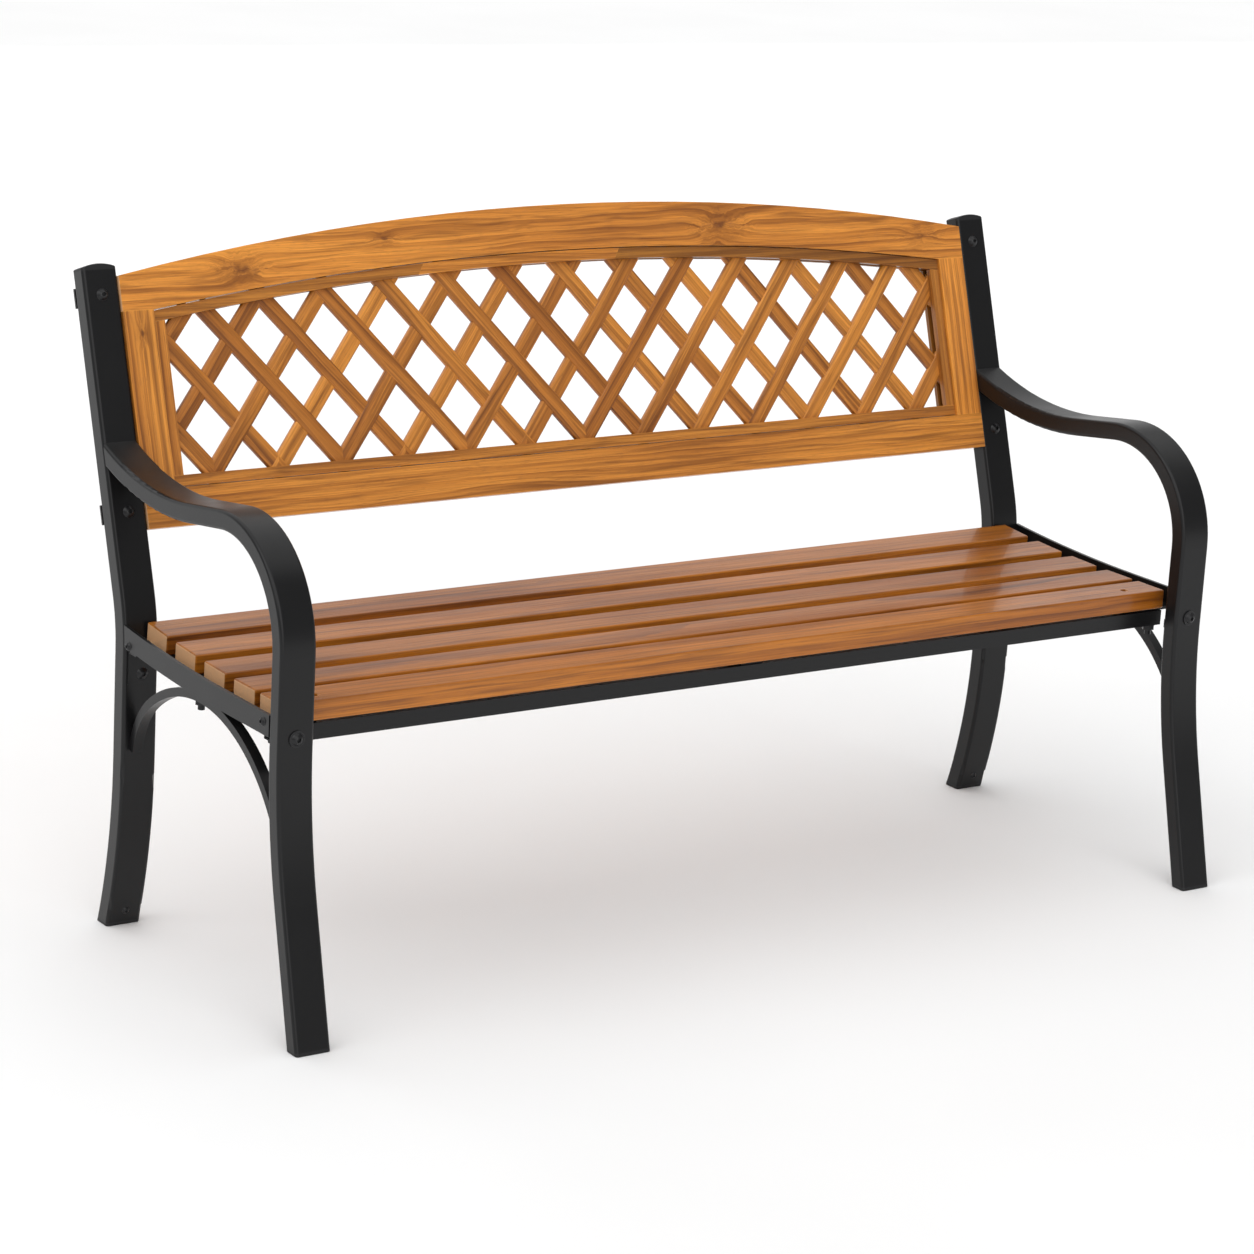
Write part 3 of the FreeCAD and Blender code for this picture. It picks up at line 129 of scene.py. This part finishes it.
def wood_grain_group():
    """Growth rings round the board's length, fibres, pores and broad tone, for a board that runs along X."""
    bench, entry, put = shader_group(
        "Wood Grain",
        [("Place", "vector"), ("Shift", "number"), ("Ring Density", "number"), ("Figure", "number"),
         ("Light", "colour"), ("Dark", "colour"), ("Streak", "colour"), ("End Face", "number")],
        [("Color", "colour"), ("Roughness", "number"), ("Height", "number")])
    place, shift = entry["Place"], entry["Shift"]
    broad = bench.noise(bench.vector("MULTIPLY", place, (3.2, 13.0, 13.0)), shift, 2.0, 0.5)
    bend = bench.vector("SUBTRACT", broad.outputs["Color"], (0.5, 0.5, 0.5))
    bend = bench.scaled(bend, entry["Figure"])
    stretched = bench.vector("MULTIPLY", place, (0.03, 1.0, 1.0))
    stretched = bench.vector("ADD", bench.vector("ADD", stretched, bend), (0.0, 0.031, 0.052))
    rings = bench.node("ShaderNodeTexWave", {"Vector": stretched, "Scale": entry["Ring Density"],
                                             "Distortion": 2.2, "Detail": 3.0, "Detail Scale": 1.5,
                                             "Detail Roughness": 0.6},
                       wave_type="RINGS", rings_direction="X", wave_profile="SAW")
    fibres = bench.noise(bench.vector("MULTIPLY", place, (9.0, 620.0, 620.0)), shift, 3.0, 0.65)
    pores = bench.noise(bench.vector("MULTIPLY", place, (70.0, 1500.0, 1500.0)), shift, 1.0, 0.5)
    tone = bench.noise(bench.vector("MULTIPLY", place, (1.7, 22.0, 22.0)), shift, 2.0, 0.55)
    drawn = bench.vector("MULTIPLY", bench.vector("ADD", place, bend), (3.5, 190.0, 190.0))
    lines = bench.noise(drawn, shift, 2.0, 0.6)
    line_share = bench.spread(lines.outputs["Fac"], 0.46, 0.70)
    ring_share = bench.spread(rings.outputs["Fac"], 0.15, 1.0)
    tone_share = bench.spread(tone.outputs["Fac"], 0.34, 0.70)
    fibre_share = bench.spread(fibres.outputs["Fac"], 0.36, 0.66)
    pore_share = bench.spread(pores.outputs["Fac"], 0.60, 0.70)
    colour = bench.mix(bench.math("MULTIPLY", ring_share, 0.40), entry["Light"], entry["Dark"])
    colour = bench.mix(bench.math("MULTIPLY", tone_share, 0.78), colour, entry["Dark"])
    streaks = bench.math("MULTIPLY", bench.math("POWER", ring_share, 4.0), tone_share)
    colour = bench.mix(bench.math("MULTIPLY", streaks, 0.72), colour, entry["Streak"])
    colour = bench.mix(bench.math("MULTIPLY", line_share, 0.58), colour, entry["Streak"])
    colour = bench.mix(bench.math("MULTIPLY", fibre_share, 0.34), colour, entry["Streak"])
    colour = bench.mix(bench.math("MULTIPLY", pore_share, 0.30), colour, entry["Streak"])
    end_tint = bench.mix(0.75, colour, (0.92, 0.55, 0.30, 1.0))
    put("Color", bench.mix(entry["End Face"], colour, end_tint))
    rough = bench.math("MULTIPLY_ADD", fibre_share, 0.10, 0.0)
    rough = bench.math("MULTIPLY_ADD", tone_share, 0.06, rough)
    put("Roughness", bench.math("MULTIPLY_ADD", entry["End Face"], 0.25, rough))
    height = bench.math("MULTIPLY_ADD", pore_share, -0.7, bench.math("MULTIPLY", fibre_share, -0.35))
    put("Height", bench.math("MULTIPLY_ADD", ring_share, -0.25, height))
    return bench.tree


def knot_group():
    """A knot at a place on a board: a dark eye, with rings that swirl round it and fade out."""
    bench, entry, put = shader_group(
        "Knot", [("Place", "vector"), ("Centre", "vector"), ("Size", "number")],
        [("Place", "vector"), ("Eye", "number"), ("Halo", "number")])
    away = bench.vector("SUBTRACT", entry["Place"], entry["Centre"])
    wobble = bench.noise(bench.vector("MULTIPLY", entry["Place"], (38.0, 38.0, 38.0)), 0.0, 3.0, 0.55)
    drift = bench.vector("SUBTRACT", wobble.outputs["Color"], (0.5, 0.5, 0.5))
    pull = bench.math("MULTIPLY", entry["Size"], 2.6)
    drift = bench.scaled(drift, pull)
    away = bench.vector("ADD", away, drift)
    flat = bench.vector("LENGTH", bench.vector("MULTIPLY", away, (0.52, 1.0, 1.0)))
    flat = bench.math("MULTIPLY", flat, bench.math("MULTIPLY_ADD", wobble.outputs["Fac"], 0.5, 0.75))
    near = bench.math("DIVIDE", flat, entry["Size"])
    halo = bench.spread(near, 0.2, 2.6, 1.0, 0.0)
    push = bench.math("MULTIPLY", halo, bench.math("MULTIPLY", entry["Size"], 0.8))
    direction = bench.vector("NORMALIZE", bench.vector("MULTIPLY", away, (0.0, 1.0, 1.0)))
    moved = bench.scaled(direction, push)
    put("Place", bench.vector("ADD", entry["Place"], moved))
    put("Eye", bench.spread(near, 0.15, 0.75, 1.0, 0.0))
    put("Halo", halo)
    return bench.tree


def edge_group():
    """Marks rounded and sharp edges, broken up by noise: the mask for paler edges, partly wear and partly a
    painted highlight.
    """
    bench, entry, put = shader_group("Edge Wear And Highlight", [("Place", "vector"), ("Reach", "number")],
                                     [("Mask", "number")])
    bevel = bench.node("ShaderNodeBevel", {"Radius": entry["Reach"]}, samples=4)
    flat = bench.node("ShaderNodeNewGeometry").outputs["True Normal"]
    turned = bench.math("SUBTRACT", 1.0, bench.vector("DOT_PRODUCT", bevel.outputs[0], flat))
    patches = bench.noise(bench.vector("MULTIPLY", entry["Place"], (35.0, 35.0, 35.0)), 0.0, 3.0, 0.6)
    mask = bench.spread(turned, 0.01, 0.22)
    put("Mask", bench.math("MULTIPLY", mask, bench.spread(patches.outputs["Fac"], 0.30, 0.62, 0.35, 1.0)))
    return bench.tree


def dust_group():
    """Fine dust that settles on faces that look up."""
    bench, entry, put = shader_group("Dust", [("Place", "vector")], [("Mask", "number")])
    facing = bench.node("ShaderNodeSeparateXYZ", {0: bench.node("ShaderNodeNewGeometry").outputs["Normal"]})
    cloud = bench.noise(bench.vector("MULTIPLY", entry["Place"], (9.0, 9.0, 9.0)), 2.0, 4.0, 0.6)
    up = bench.spread(facing.outputs["Z"], 0.35, 1.0)
    put("Mask", bench.math("MULTIPLY", up, bench.spread(cloud.outputs["Fac"], 0.40, 0.75)))
    return bench.tree


def coat_group():
    """Orange peel of powder coat: a soft pebbled height and a slightly uneven gloss."""
    bench, entry, put = shader_group("Powder Coat", [("Place", "vector"), ("Pebble", "number")],
                                     [("Height", "number"), ("Gloss Change", "number")])
    pebbles = bench.noise(bench.scaled(entry["Place"], entry["Pebble"]), 0.0, 2.0, 0.4)
    blotch = bench.noise(bench.vector("MULTIPLY", entry["Place"], (14.0, 14.0, 14.0)), 1.0, 3.0, 0.6)
    put("Height", pebbles.outputs["Fac"])
    put("Gloss Change", bench.math("MULTIPLY_ADD", blotch.outputs["Fac"], 0.12, -0.06))
    return bench.tree


wood_grain = wood_grain_group()
knot = knot_group()
edge_wear_highlight_tree = edge_group()
dust = dust_group()
powder_coat = coat_group()


def use_group(bench, tree, inputs):
    made = bench.node("ShaderNodeGroup", node_tree=tree)
    for name, value in inputs.items():
        bench.feed(made.inputs[name], value)
    return made.outputs


def new_material(name):
    material = bpy.data.materials.new(name)
    material.use_nodes = True
    bench = Bench(material.node_tree)
    shader = material.node_tree.nodes["Principled BSDF"]
    place = bench.node("ShaderNodeTexCoord").outputs["Object"]
    return material, bench, shader, place


def bump(bench, shader, height, distance, strength=1.0):
    made = bench.node("ShaderNodeBump", {"Height": height, "Distance": distance, "Strength": strength})
    bench.feed(shader.inputs["Normal"], made.outputs["Normal"])


# ---------------------------------------------------------------- finishes

def varnished_wood(name, light, dark, streak, grain_along=ALONG, shift=0.0, rings=30.0, figure=0.022,
                   gloss=0.30, coat=0.16, knots=()):
    """Oiled and varnished hardwood; grain_along is the board's length, knots are (centre, size)."""
    material, bench, shader, place = new_material(name)
    turn = Vector(grain_along).rotation_difference(ALONG).to_euler("XYZ")
    along = bench.node("ShaderNodeMapping", {"Vector": place, "Rotation": turn}).outputs[0]
    eye_share = None
    for centre, size in knots:
        local = Vector(centre)
        local.rotate(turn)
        found = use_group(bench, knot, {"Place": along, "Centre": local, "Size": size})
        along = found["Place"]
        shade = bench.math("MULTIPLY_ADD", found["Halo"], 0.28, bench.math("MULTIPLY", found["Eye"], 0.6))
        eye_share = shade if eye_share is None else bench.math("ADD", eye_share, shade, clamp=True)
    facing = bench.node("ShaderNodeNewGeometry").outputs["True Normal"]
    end_face = bench.math("ABSOLUTE", bench.vector("DOT_PRODUCT", facing, tuple(grain_along)))
    grain = use_group(bench, wood_grain, {
        "Place": along, "Shift": shift, "Ring Density": rings, "Figure": figure, "Light": (*light, 1.0),
        "Dark": (*dark, 1.0), "Streak": (*streak, 1.0), "End Face": bench.spread(end_face, 0.85, 0.98)})
    colour = grain["Color"]
    if eye_share is not None:
        colour = bench.mix(eye_share, colour, (*streak, 1.0))
    # Painted highlight, partly edge wear: rounded edges are mixed towards a paler copy of the light wood
    # colour.
    edge_wear_highlight_mask = use_group(bench, edge_wear_highlight_tree, {"Place": place, "Reach": 0.0022})["Mask"]
    colour = bench.mix(bench.math("MULTIPLY", edge_wear_highlight_mask, 0.22), colour, (*[min(1.0, c * 1.5) for c in light], 1.0))
    bench.feed(shader.inputs["Base Color"], colour)
    bench.feed(shader.inputs["Roughness"], bench.math("ADD", grain["Roughness"], gloss))
    shader.inputs["Coat Weight"].default_value = coat
    shader.inputs["Coat Roughness"].default_value = 0.09
    shader.inputs["Specular IOR Level"].default_value = 0.32
    bump(bench, shader, grain["Height"], 0.00025, 0.55)
    return material


def black_finish(name, colour, roughness, pebble, pebble_height, edge_wear_highlight_colour, dust_share=0.03):
    """Satin black coat: orange peel, paler edges that are partly wear and partly a painted highlight, and a
    trace of dust.
    """
    material, bench, shader, place = new_material(name)
    coat = use_group(bench, powder_coat, {"Place": place, "Pebble": pebble})
    edge_wear_highlight_mask = use_group(bench, edge_wear_highlight_tree, {"Place": place, "Reach": 0.0018})["Mask"]
    settled = use_group(bench, dust, {"Place": place})["Mask"]
    # Painted highlight, partly edge wear: rounded edges are mixed towards the paler edge colour.
    base = bench.mix(bench.math("MULTIPLY", edge_wear_highlight_mask, 0.35), (*colour, 1.0), (*edge_wear_highlight_colour, 1.0))
    base = bench.mix(bench.math("MULTIPLY", settled, dust_share), base, (0.32, 0.31, 0.29, 1.0))
    bench.feed(shader.inputs["Base Color"], base)
    dusty = bench.math("MULTIPLY_ADD", settled, 0.12, roughness)
    bench.feed(shader.inputs["Roughness"], bench.math("ADD", dusty, coat["Gloss Change"]))
    shader.inputs["Specular IOR Level"].default_value = 0.30
    bump(bench, shader, coat["Height"], pebble_height, 0.6)
    return material


HONEY = (0.84, 0.335, 0.054)
AMBER = (0.46, 0.150, 0.020)
UMBER = (0.135, 0.038, 0.007)


def toned(colour, share, warmth):
    return tuple(channel * share * tint for channel, tint in zip(colour, warmth))


def wood(name, share, warmth=(1.0, 1.0, 1.0), **facts):
    return varnished_wood(name, toned(HONEY, share, warmth), toned(AMBER, share, warmth),
                          toned(UMBER, share, warmth), **facts)


def paint(node, material):
    """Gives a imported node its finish."""
    slots = nodes[node].material_slots
    for slot in slots:
        slot.link = "OBJECT"
        slot.material = material


def on_panel(across, up, deep=0.0):
    """A place on the back panel: metres across, up and behind its front foot line."""
    return PANEL_FOOT + ALONG * across + PANEL_UP * up + PANEL_BACK * deep


# The last colour of each black finish is its paler edge colour: partly edge wear, partly a painted highlight.
steel = black_finish("satin_black_powder_coat", (0.006, 0.006, 0.0065), 0.30, 900.0, 0.00012,
                     (0.032, 0.032, 0.033))
hardware = black_finish("black_bolts", (0.010, 0.010, 0.011), 0.30, 1500.0, 0.00006, (0.10, 0.10, 0.10))
plastic = black_finish("black_plastic_caps", (0.013, 0.013, 0.014), 0.46, 1800.0, 0.00008,
                       (0.035, 0.035, 0.035))

# Seat slat tones: partly the slats' own tone, which differs a little from slat to slat, and partly painted
# shade, because the seat is a darker copy of the panel wood that offsets the stronger light on its upward
# faces.
SLAT_SHADED_TONES = (0.58, 0.62, 0.59, 0.62, 0.64)
top_rail_wood = wood("top_rail_wood", 1.10, shift=3.0, rings=20.0, figure=0.045, knots=[
    (on_panel(-0.440, 0.283), 0.010), (on_panel(-0.250, 0.305), 0.006), (on_panel(0.225, 0.300), 0.012),
    (on_panel(0.530, 0.272), 0.009)])
bottom_rail_wood = wood("bottom_rail_wood", 0.96, shift=7.0, rings=24.0, figure=0.03)
left_stile_wood = wood("left_stile_wood", 0.98, grain_along=PANEL_UP, shift=11.0,
                       knots=[(on_panel(-0.572, 0.215), 0.0045)])
right_stile_wood = wood("right_stile_wood", 1.15, grain_along=PANEL_UP, shift=13.0)

for index, share in enumerate(SLAT_SHADED_TONES, start=1):
    paint(f"seat_slat_{index}", wood(f"seat_slat_wood_{index}", share, shift=17.0 + 5.0 * index, rings=26.0,
                                     figure=0.020, gloss=0.28, coat=0.26,
                                     warmth=(1.06, 0.90, 0.50)))
paint("panel_top_rail", top_rail_wood)
paint("panel_bottom_rail", bottom_rail_wood)
paint("panel_stile_left", left_stile_wood)
paint("panel_stile_right", right_stile_wood)
BEAD_TONES = {"front_bead_top_left": 0.72, "front_bead_top_middle": 1.02, "front_bead_top_right": 0.50,
              "front_bead_bottom": 0.80, "front_bead_left": 0.95, "front_bead_right": 0.70,
              "back_bead_top": 0.45, "back_bead_bottom": 0.55, "back_bead_left": 0.5, "back_bead_right": 0.4}
for index, (bead, share) in enumerate(BEAD_TONES.items()):
    upright = bead.endswith("bead_left") or bead.endswith("bead_right")
    run = PANEL_UP if upright else ALONG
    paint(bead, wood(bead + "_wood", share, grain_along=run, shift=60.0 + 3 * index, rings=34.0))

for node in nodes:
    slot_name = next(row["material_slot"] for row in frame["record"]["subparts"] if row["node"] == node)
    if slot_name == "black_steel":
        paint(node, steel)
    elif slot_name == "black_hardware":
        paint(node, hardware)
    elif slot_name == "black_plastic":
        paint(node, plastic)


# ---------------------------------------------------------------- lattice strips

# Heights and widths are measured on the face of the panel, from its foot.
LATTICE_PITCH = 0.083
LATTICE_ANGLE = math.radians(40)
STRIP_WIDTH = 0.020
STRIP_THICKNESS = 0.0076
STRIP_ROUNDING = 0.0019
WEAVE_LIFT = 0.0006
LAP_CHANGE = 0.030
FIELD_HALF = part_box("front_bead_bottom")[1][0]
FIELD_LOW = 0.0445
LAP_FOOT = 0.0565
SIDE_TOP = 0.2405
ARCH_RISE = 0.040
STRIP_DEPTH = 0.015
END_IN_GROOVE = 0.0015
STRIP_RISE = 0.26
SEARCH_STEP = 0.0005
SEARCH_COUNT = 600


def arch_height(across):
    """Top of the lattice field at a place across the panel."""
    half = FIELD_HALF
    radius = (half ** 2 + ARCH_RISE ** 2) / (2 * ARCH_RISE)
    return SIDE_TOP + ARCH_RISE - radius + math.sqrt(radius ** 2 - across ** 2)


def strip_feet(lean):
    """Where strips of one direction cross the lower bead's edge."""
    reach = STRIP_RISE * math.tan(LATTICE_ANGLE)
    count = int((FIELD_HALF + reach) // LATTICE_PITCH) + 1
    feet = [LATTICE_PITCH * index for index in range(-count, count + 1)]
    return [foot for foot in feet if abs(foot) < FIELD_HALF or abs(foot + lean * reach) < FIELD_HALF]


def inside_field(across, up):
    return abs(across) < FIELD_HALF and FIELD_LOW < up < arch_height(min(abs(across), FIELD_HALF))


def strip_reach(foot, lean):
    """Lowest and highest height at which a strip's middle line is in the field."""
    slope = math.tan(LATTICE_ANGLE)
    heights = [FIELD_LOW + SEARCH_STEP * index for index in range(1, SEARCH_COUNT)]
    inside = [up for up in heights if inside_field(foot + lean * (up - LAP_FOOT) * slope, up)]
    return (inside[0], inside[-1]) if inside else None


def rising_in_front(rising_foot, falling_foot):
    place = (rising_foot + falling_foot) / 2
    row = round((falling_foot - rising_foot) / LATTICE_PITCH)
    return place > LAP_CHANGE or (row == 1 and round(rising_foot / LATTICE_PITCH) % 2 == 0)


def strip_lines(lean):
    """Each strip as heights and weave: a list of points in panel space, one list for each strip."""
    slope = math.tan(LATTICE_ANGLE)
    lines = []
    for foot in strip_feet(lean):
        reach = strip_reach(foot, lean)
        if reach is None or reach[1] - reach[0] < STRIP_WIDTH:
            continue
        low, high = reach[0] + END_IN_GROOVE, reach[1] - END_IN_GROOVE
        points = [(low, 0.0)]
        for other in strip_feet(-lean):
            rising, falling = (foot, other) if lean > 0 else (other, foot)
            up = LAP_FOOT + (falling - rising) / (2 * slope)
            if low + STRIP_WIDTH / 2 < up < high - STRIP_WIDTH / 2:
                front = rising_in_front(rising, falling) == (lean > 0)
                points.append((up, -WEAVE_LIFT if front else WEAVE_LIFT))
        points.append((high, 0.0))
        points.sort()
        lines.append([on_panel(foot + lean * (up - LAP_FOOT) * slope, up, STRIP_DEPTH + weave)
                      for up, weave in points])
    return lines


def lattice_tree():
    """Rounded wooden bars along the lines of a mesh."""
    tree = bpy.data.node_groups.new("Lattice Bars", "GeometryNodeTree")
    tree.interface.new_socket("Geometry", in_out="INPUT", socket_type="NodeSocketGeometry")
    sizes = {"Width": STRIP_WIDTH, "Thickness": STRIP_THICKNESS, "Rounding": STRIP_ROUNDING}
    for label, value in sizes.items():
        made = tree.interface.new_socket(label, in_out="INPUT", socket_type="NodeSocketFloat")
        made.default_value = value
    tree.interface.new_socket("Facing", in_out="INPUT", socket_type="NodeSocketVector")
    tree.interface.new_socket("Seed", in_out="INPUT", socket_type="NodeSocketInt")
    tree.interface.new_socket("Finish", in_out="INPUT", socket_type="NodeSocketMaterial")
    tree.interface.new_socket("Geometry", in_out="OUTPUT", socket_type="NodeSocketGeometry")
    bench = Bench(tree)
    entry = bench.node("NodeGroupInput").outputs
    leave = bench.node("NodeGroupOutput").inputs
    curve = bench.node("GeometryNodeMeshToCurve", {"Mesh": entry["Geometry"]}).outputs["Curve"]
    turned = bench.node("GeometryNodeSetCurveNormal", {"Curve": curve, "Normal": entry["Facing"]},
                        mode="FREE")
    index = bench.node("GeometryNodeInputIndex").outputs[0]
    tone = bench.node("FunctionNodeRandomValue", {"ID": index, "Seed": entry["Seed"]}, data_type="FLOAT")
    kept = bench.node("GeometryNodeStoreNamedAttribute", {"Geometry": turned.outputs[0], "Name": "board_tone",
                                                          "Value": tone.outputs[1]},
                      data_type="FLOAT", domain="CURVE")
    section = bench.node("GeometryNodeCurvePrimitiveQuadrilateral",
                         {"Width": entry["Thickness"], "Height": entry["Width"]}, mode="RECTANGLE")
    eased = bench.node("GeometryNodeFilletCurve", {"Curve": section.outputs[0], "Radius": entry["Rounding"],
                                                   "Count": 3}, mode="POLY")
    bars = bench.node("GeometryNodeCurveToMesh", {"Curve": kept.outputs[0], "Profile Curve": eased.outputs[0],
                                                  "Fill Caps": True})
    joined = bench.node("GeometryNodeRealizeInstances", {"Geometry": bars.outputs[0]})
    done = bench.node("GeometryNodeSetMaterial", {"Geometry": joined.outputs[0], "Material": entry["Finish"]})
    tree.links.new(done.outputs[0], leave[0])
    return tree


def baked(name, mesh, tree, inputs):
    """Runs a geometry tree on a mesh and keeps the result as a plain piece."""
    carrier = bpy.data.objects.new(name + "_carrier", mesh)
    bpy.context.scene.collection.objects.link(carrier)
    modifier = carrier.modifiers.new("shape", "NODES")
    modifier.node_group = tree
    names = {item.name: item.identifier for item in tree.interface.items_tree if item.in_out == "INPUT"}
    for label, value in inputs.items():
        modifier[names[label]] = value
    view = bpy.context.evaluated_depsgraph_get()
    plain = bpy.data.meshes.new_from_object(carrier.evaluated_get(view), preserve_all_data_layers=True,
                                            depsgraph=view)
    bpy.data.objects.remove(carrier)
    piece = bpy.data.objects.new(name, plain)
    bpy.context.scene.collection.objects.link(piece)
    return piece


def lattice_wood(name, lean, shift):
    direction = (PANEL_UP * math.cos(LATTICE_ANGLE) + ALONG * lean * math.sin(LATTICE_ANGLE)).normalized()
    material = wood(name, 0.92, grain_along=direction, shift=shift, rings=22.0, figure=0.030, gloss=0.34)
    bench = Bench(material.node_tree)
    shader = material.node_tree.nodes["Principled BSDF"]
    tone = bench.node("ShaderNodeAttribute", attribute_name="board_tone", attribute_type="GEOMETRY")
    tone = tone.outputs["Fac"]
    colour = shader.inputs["Base Color"].links[0].from_socket
    darker = bench.mix(1.0, colour, (0.84, 0.80, 0.76, 1.0), "MULTIPLY")
    bench.feed(shader.inputs["Base Color"], bench.mix(bench.spread(tone, 0.25, 1.0), colour, darker))
    return material


bars = lattice_tree()
LATTICE_SETS = (("rising_strips", "lattice_rising", 1, 4), ("falling_strips", "lattice_falling", -1, 9))
for name, node, lean, seed in LATTICE_SETS:
    mesh = bpy.data.meshes.new(name + "_lines")
    corners, edges = [], []
    for line in strip_lines(lean):
        start = len(corners)
        corners.extend(line)
        edges.extend((start + step, start + step + 1) for step in range(len(line) - 1))
    mesh.from_pydata(corners, edges, [])
    finish = lattice_wood(name + "_wood", lean, 30.0 + seed)
    strips = baked(name, mesh, bars, {"Facing": PANEL_BACK, "Seed": seed, "Finish": finish})
    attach(strips, "root")
    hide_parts(node)


# ---------------------------------------------------------------- floor, light and camera

def floor():
    material, bench, shader, place = new_material("pale_floor")
    speckle = bench.noise(bench.vector("MULTIPLY", place, (1.5, 1.5, 1.5)), 0.0, 2.0, 0.5)
    tint = bench.mix(bench.spread(speckle.outputs["Fac"], 0.3, 0.7), (0.93, 0.93, 0.93, 1.0),
                     (0.95, 0.95, 0.95, 1.0))
    bench.feed(shader.inputs["Base Color"], tint)
    shader.inputs["Roughness"].default_value = 0.75
    shader.inputs["Specular IOR Level"].default_value = 0.2
    mesh = bpy.data.meshes.new("floor")
    half = 40.0
    corners = [(-half, -half, 0), (half, -half, 0), (half, half, 0), (-half, half, 0)]
    mesh.from_pydata(corners, [], [(0, 1, 2, 3)])
    mesh.materials.append(material)
    ground = bpy.data.objects.new("floor", mesh)
    bpy.context.scene.collection.objects.link(ground)


def softbox(name, place, target, size, power, colour=(1.0, 1.0, 1.0)):
    light = bpy.data.lights.new(name, "AREA")
    light.shape = "RECTANGLE"
    light.size, light.size_y = size
    light.energy = power
    light.color = colour
    lamp = bpy.data.objects.new(name, light)
    lamp.location = place
    lamp.rotation_euler = (Vector(target) - Vector(place)).to_track_quat("-Z", "Y").to_euler()
    lamp.visible_camera = False
    bpy.context.scene.collection.objects.link(lamp)


def broad_sun(name, towards, angle, strength):
    """A distant light as wide as a studio panel: the same strength at any distance."""
    light = bpy.data.lights.new(name, "SUN")
    light.angle = math.radians(angle)
    light.energy = strength
    lamp = bpy.data.objects.new(name, light)
    lamp.rotation_euler = Vector(towards).to_track_quat("-Z", "Y").to_euler()
    bpy.context.scene.collection.objects.link(lamp)


def studio():
    world = bpy.data.worlds.new("studio")
    bpy.context.scene.world = world
    world.use_nodes = True
    sky = world.node_tree.nodes["Background"]
    sky.inputs["Color"].default_value = (1.0, 1.0, 1.0, 1.0)
    sky.inputs["Strength"].default_value = 0.30
    broad_sun("white_ceiling", (0.10, -0.26, -1.0), 100.0, 1.55)
    broad_sun("left_panel", (0.80, 0.15, -0.62), 50.0, 0.70)
    broad_sun("front_panel", (0.25, 0.85, -0.48), 60.0, 1.10)
    softbox("back_wall", (1.5, 7.0, 2.3), (0.6, 0, 0.5), (16.0, 4.4), 120)


def camera():
    data = bpy.data.cameras.new("camera")
    data.sensor_width = 36.0
    data.lens = 110.0
    data.clip_end = 200.0
    made = bpy.data.objects.new("camera", data)
    bpy.context.scene.collection.objects.link(made)
    yaw, pitch, roll = -0.6050, -0.2662, 0.0564
    look = Vector((-math.sin(yaw) * math.cos(pitch), math.cos(yaw) * math.cos(pitch), math.sin(pitch)))
    right = Vector((math.cos(yaw), math.sin(yaw), 0.0))
    up = right.cross(look)
    rolled_right = right * math.cos(roll) + up * math.sin(roll)
    rolled_up = up * math.cos(roll) - right * math.sin(roll)
    turn = Matrix((rolled_right, rolled_up, -look)).transposed().to_4x4()
    made.matrix_world = Matrix.Translation((-2.487, -3.521, 1.497)) @ turn
    bpy.context.scene.camera = made


floor()
studio()
camera()
bpy.context.scene.view_settings.view_transform = "Standard"
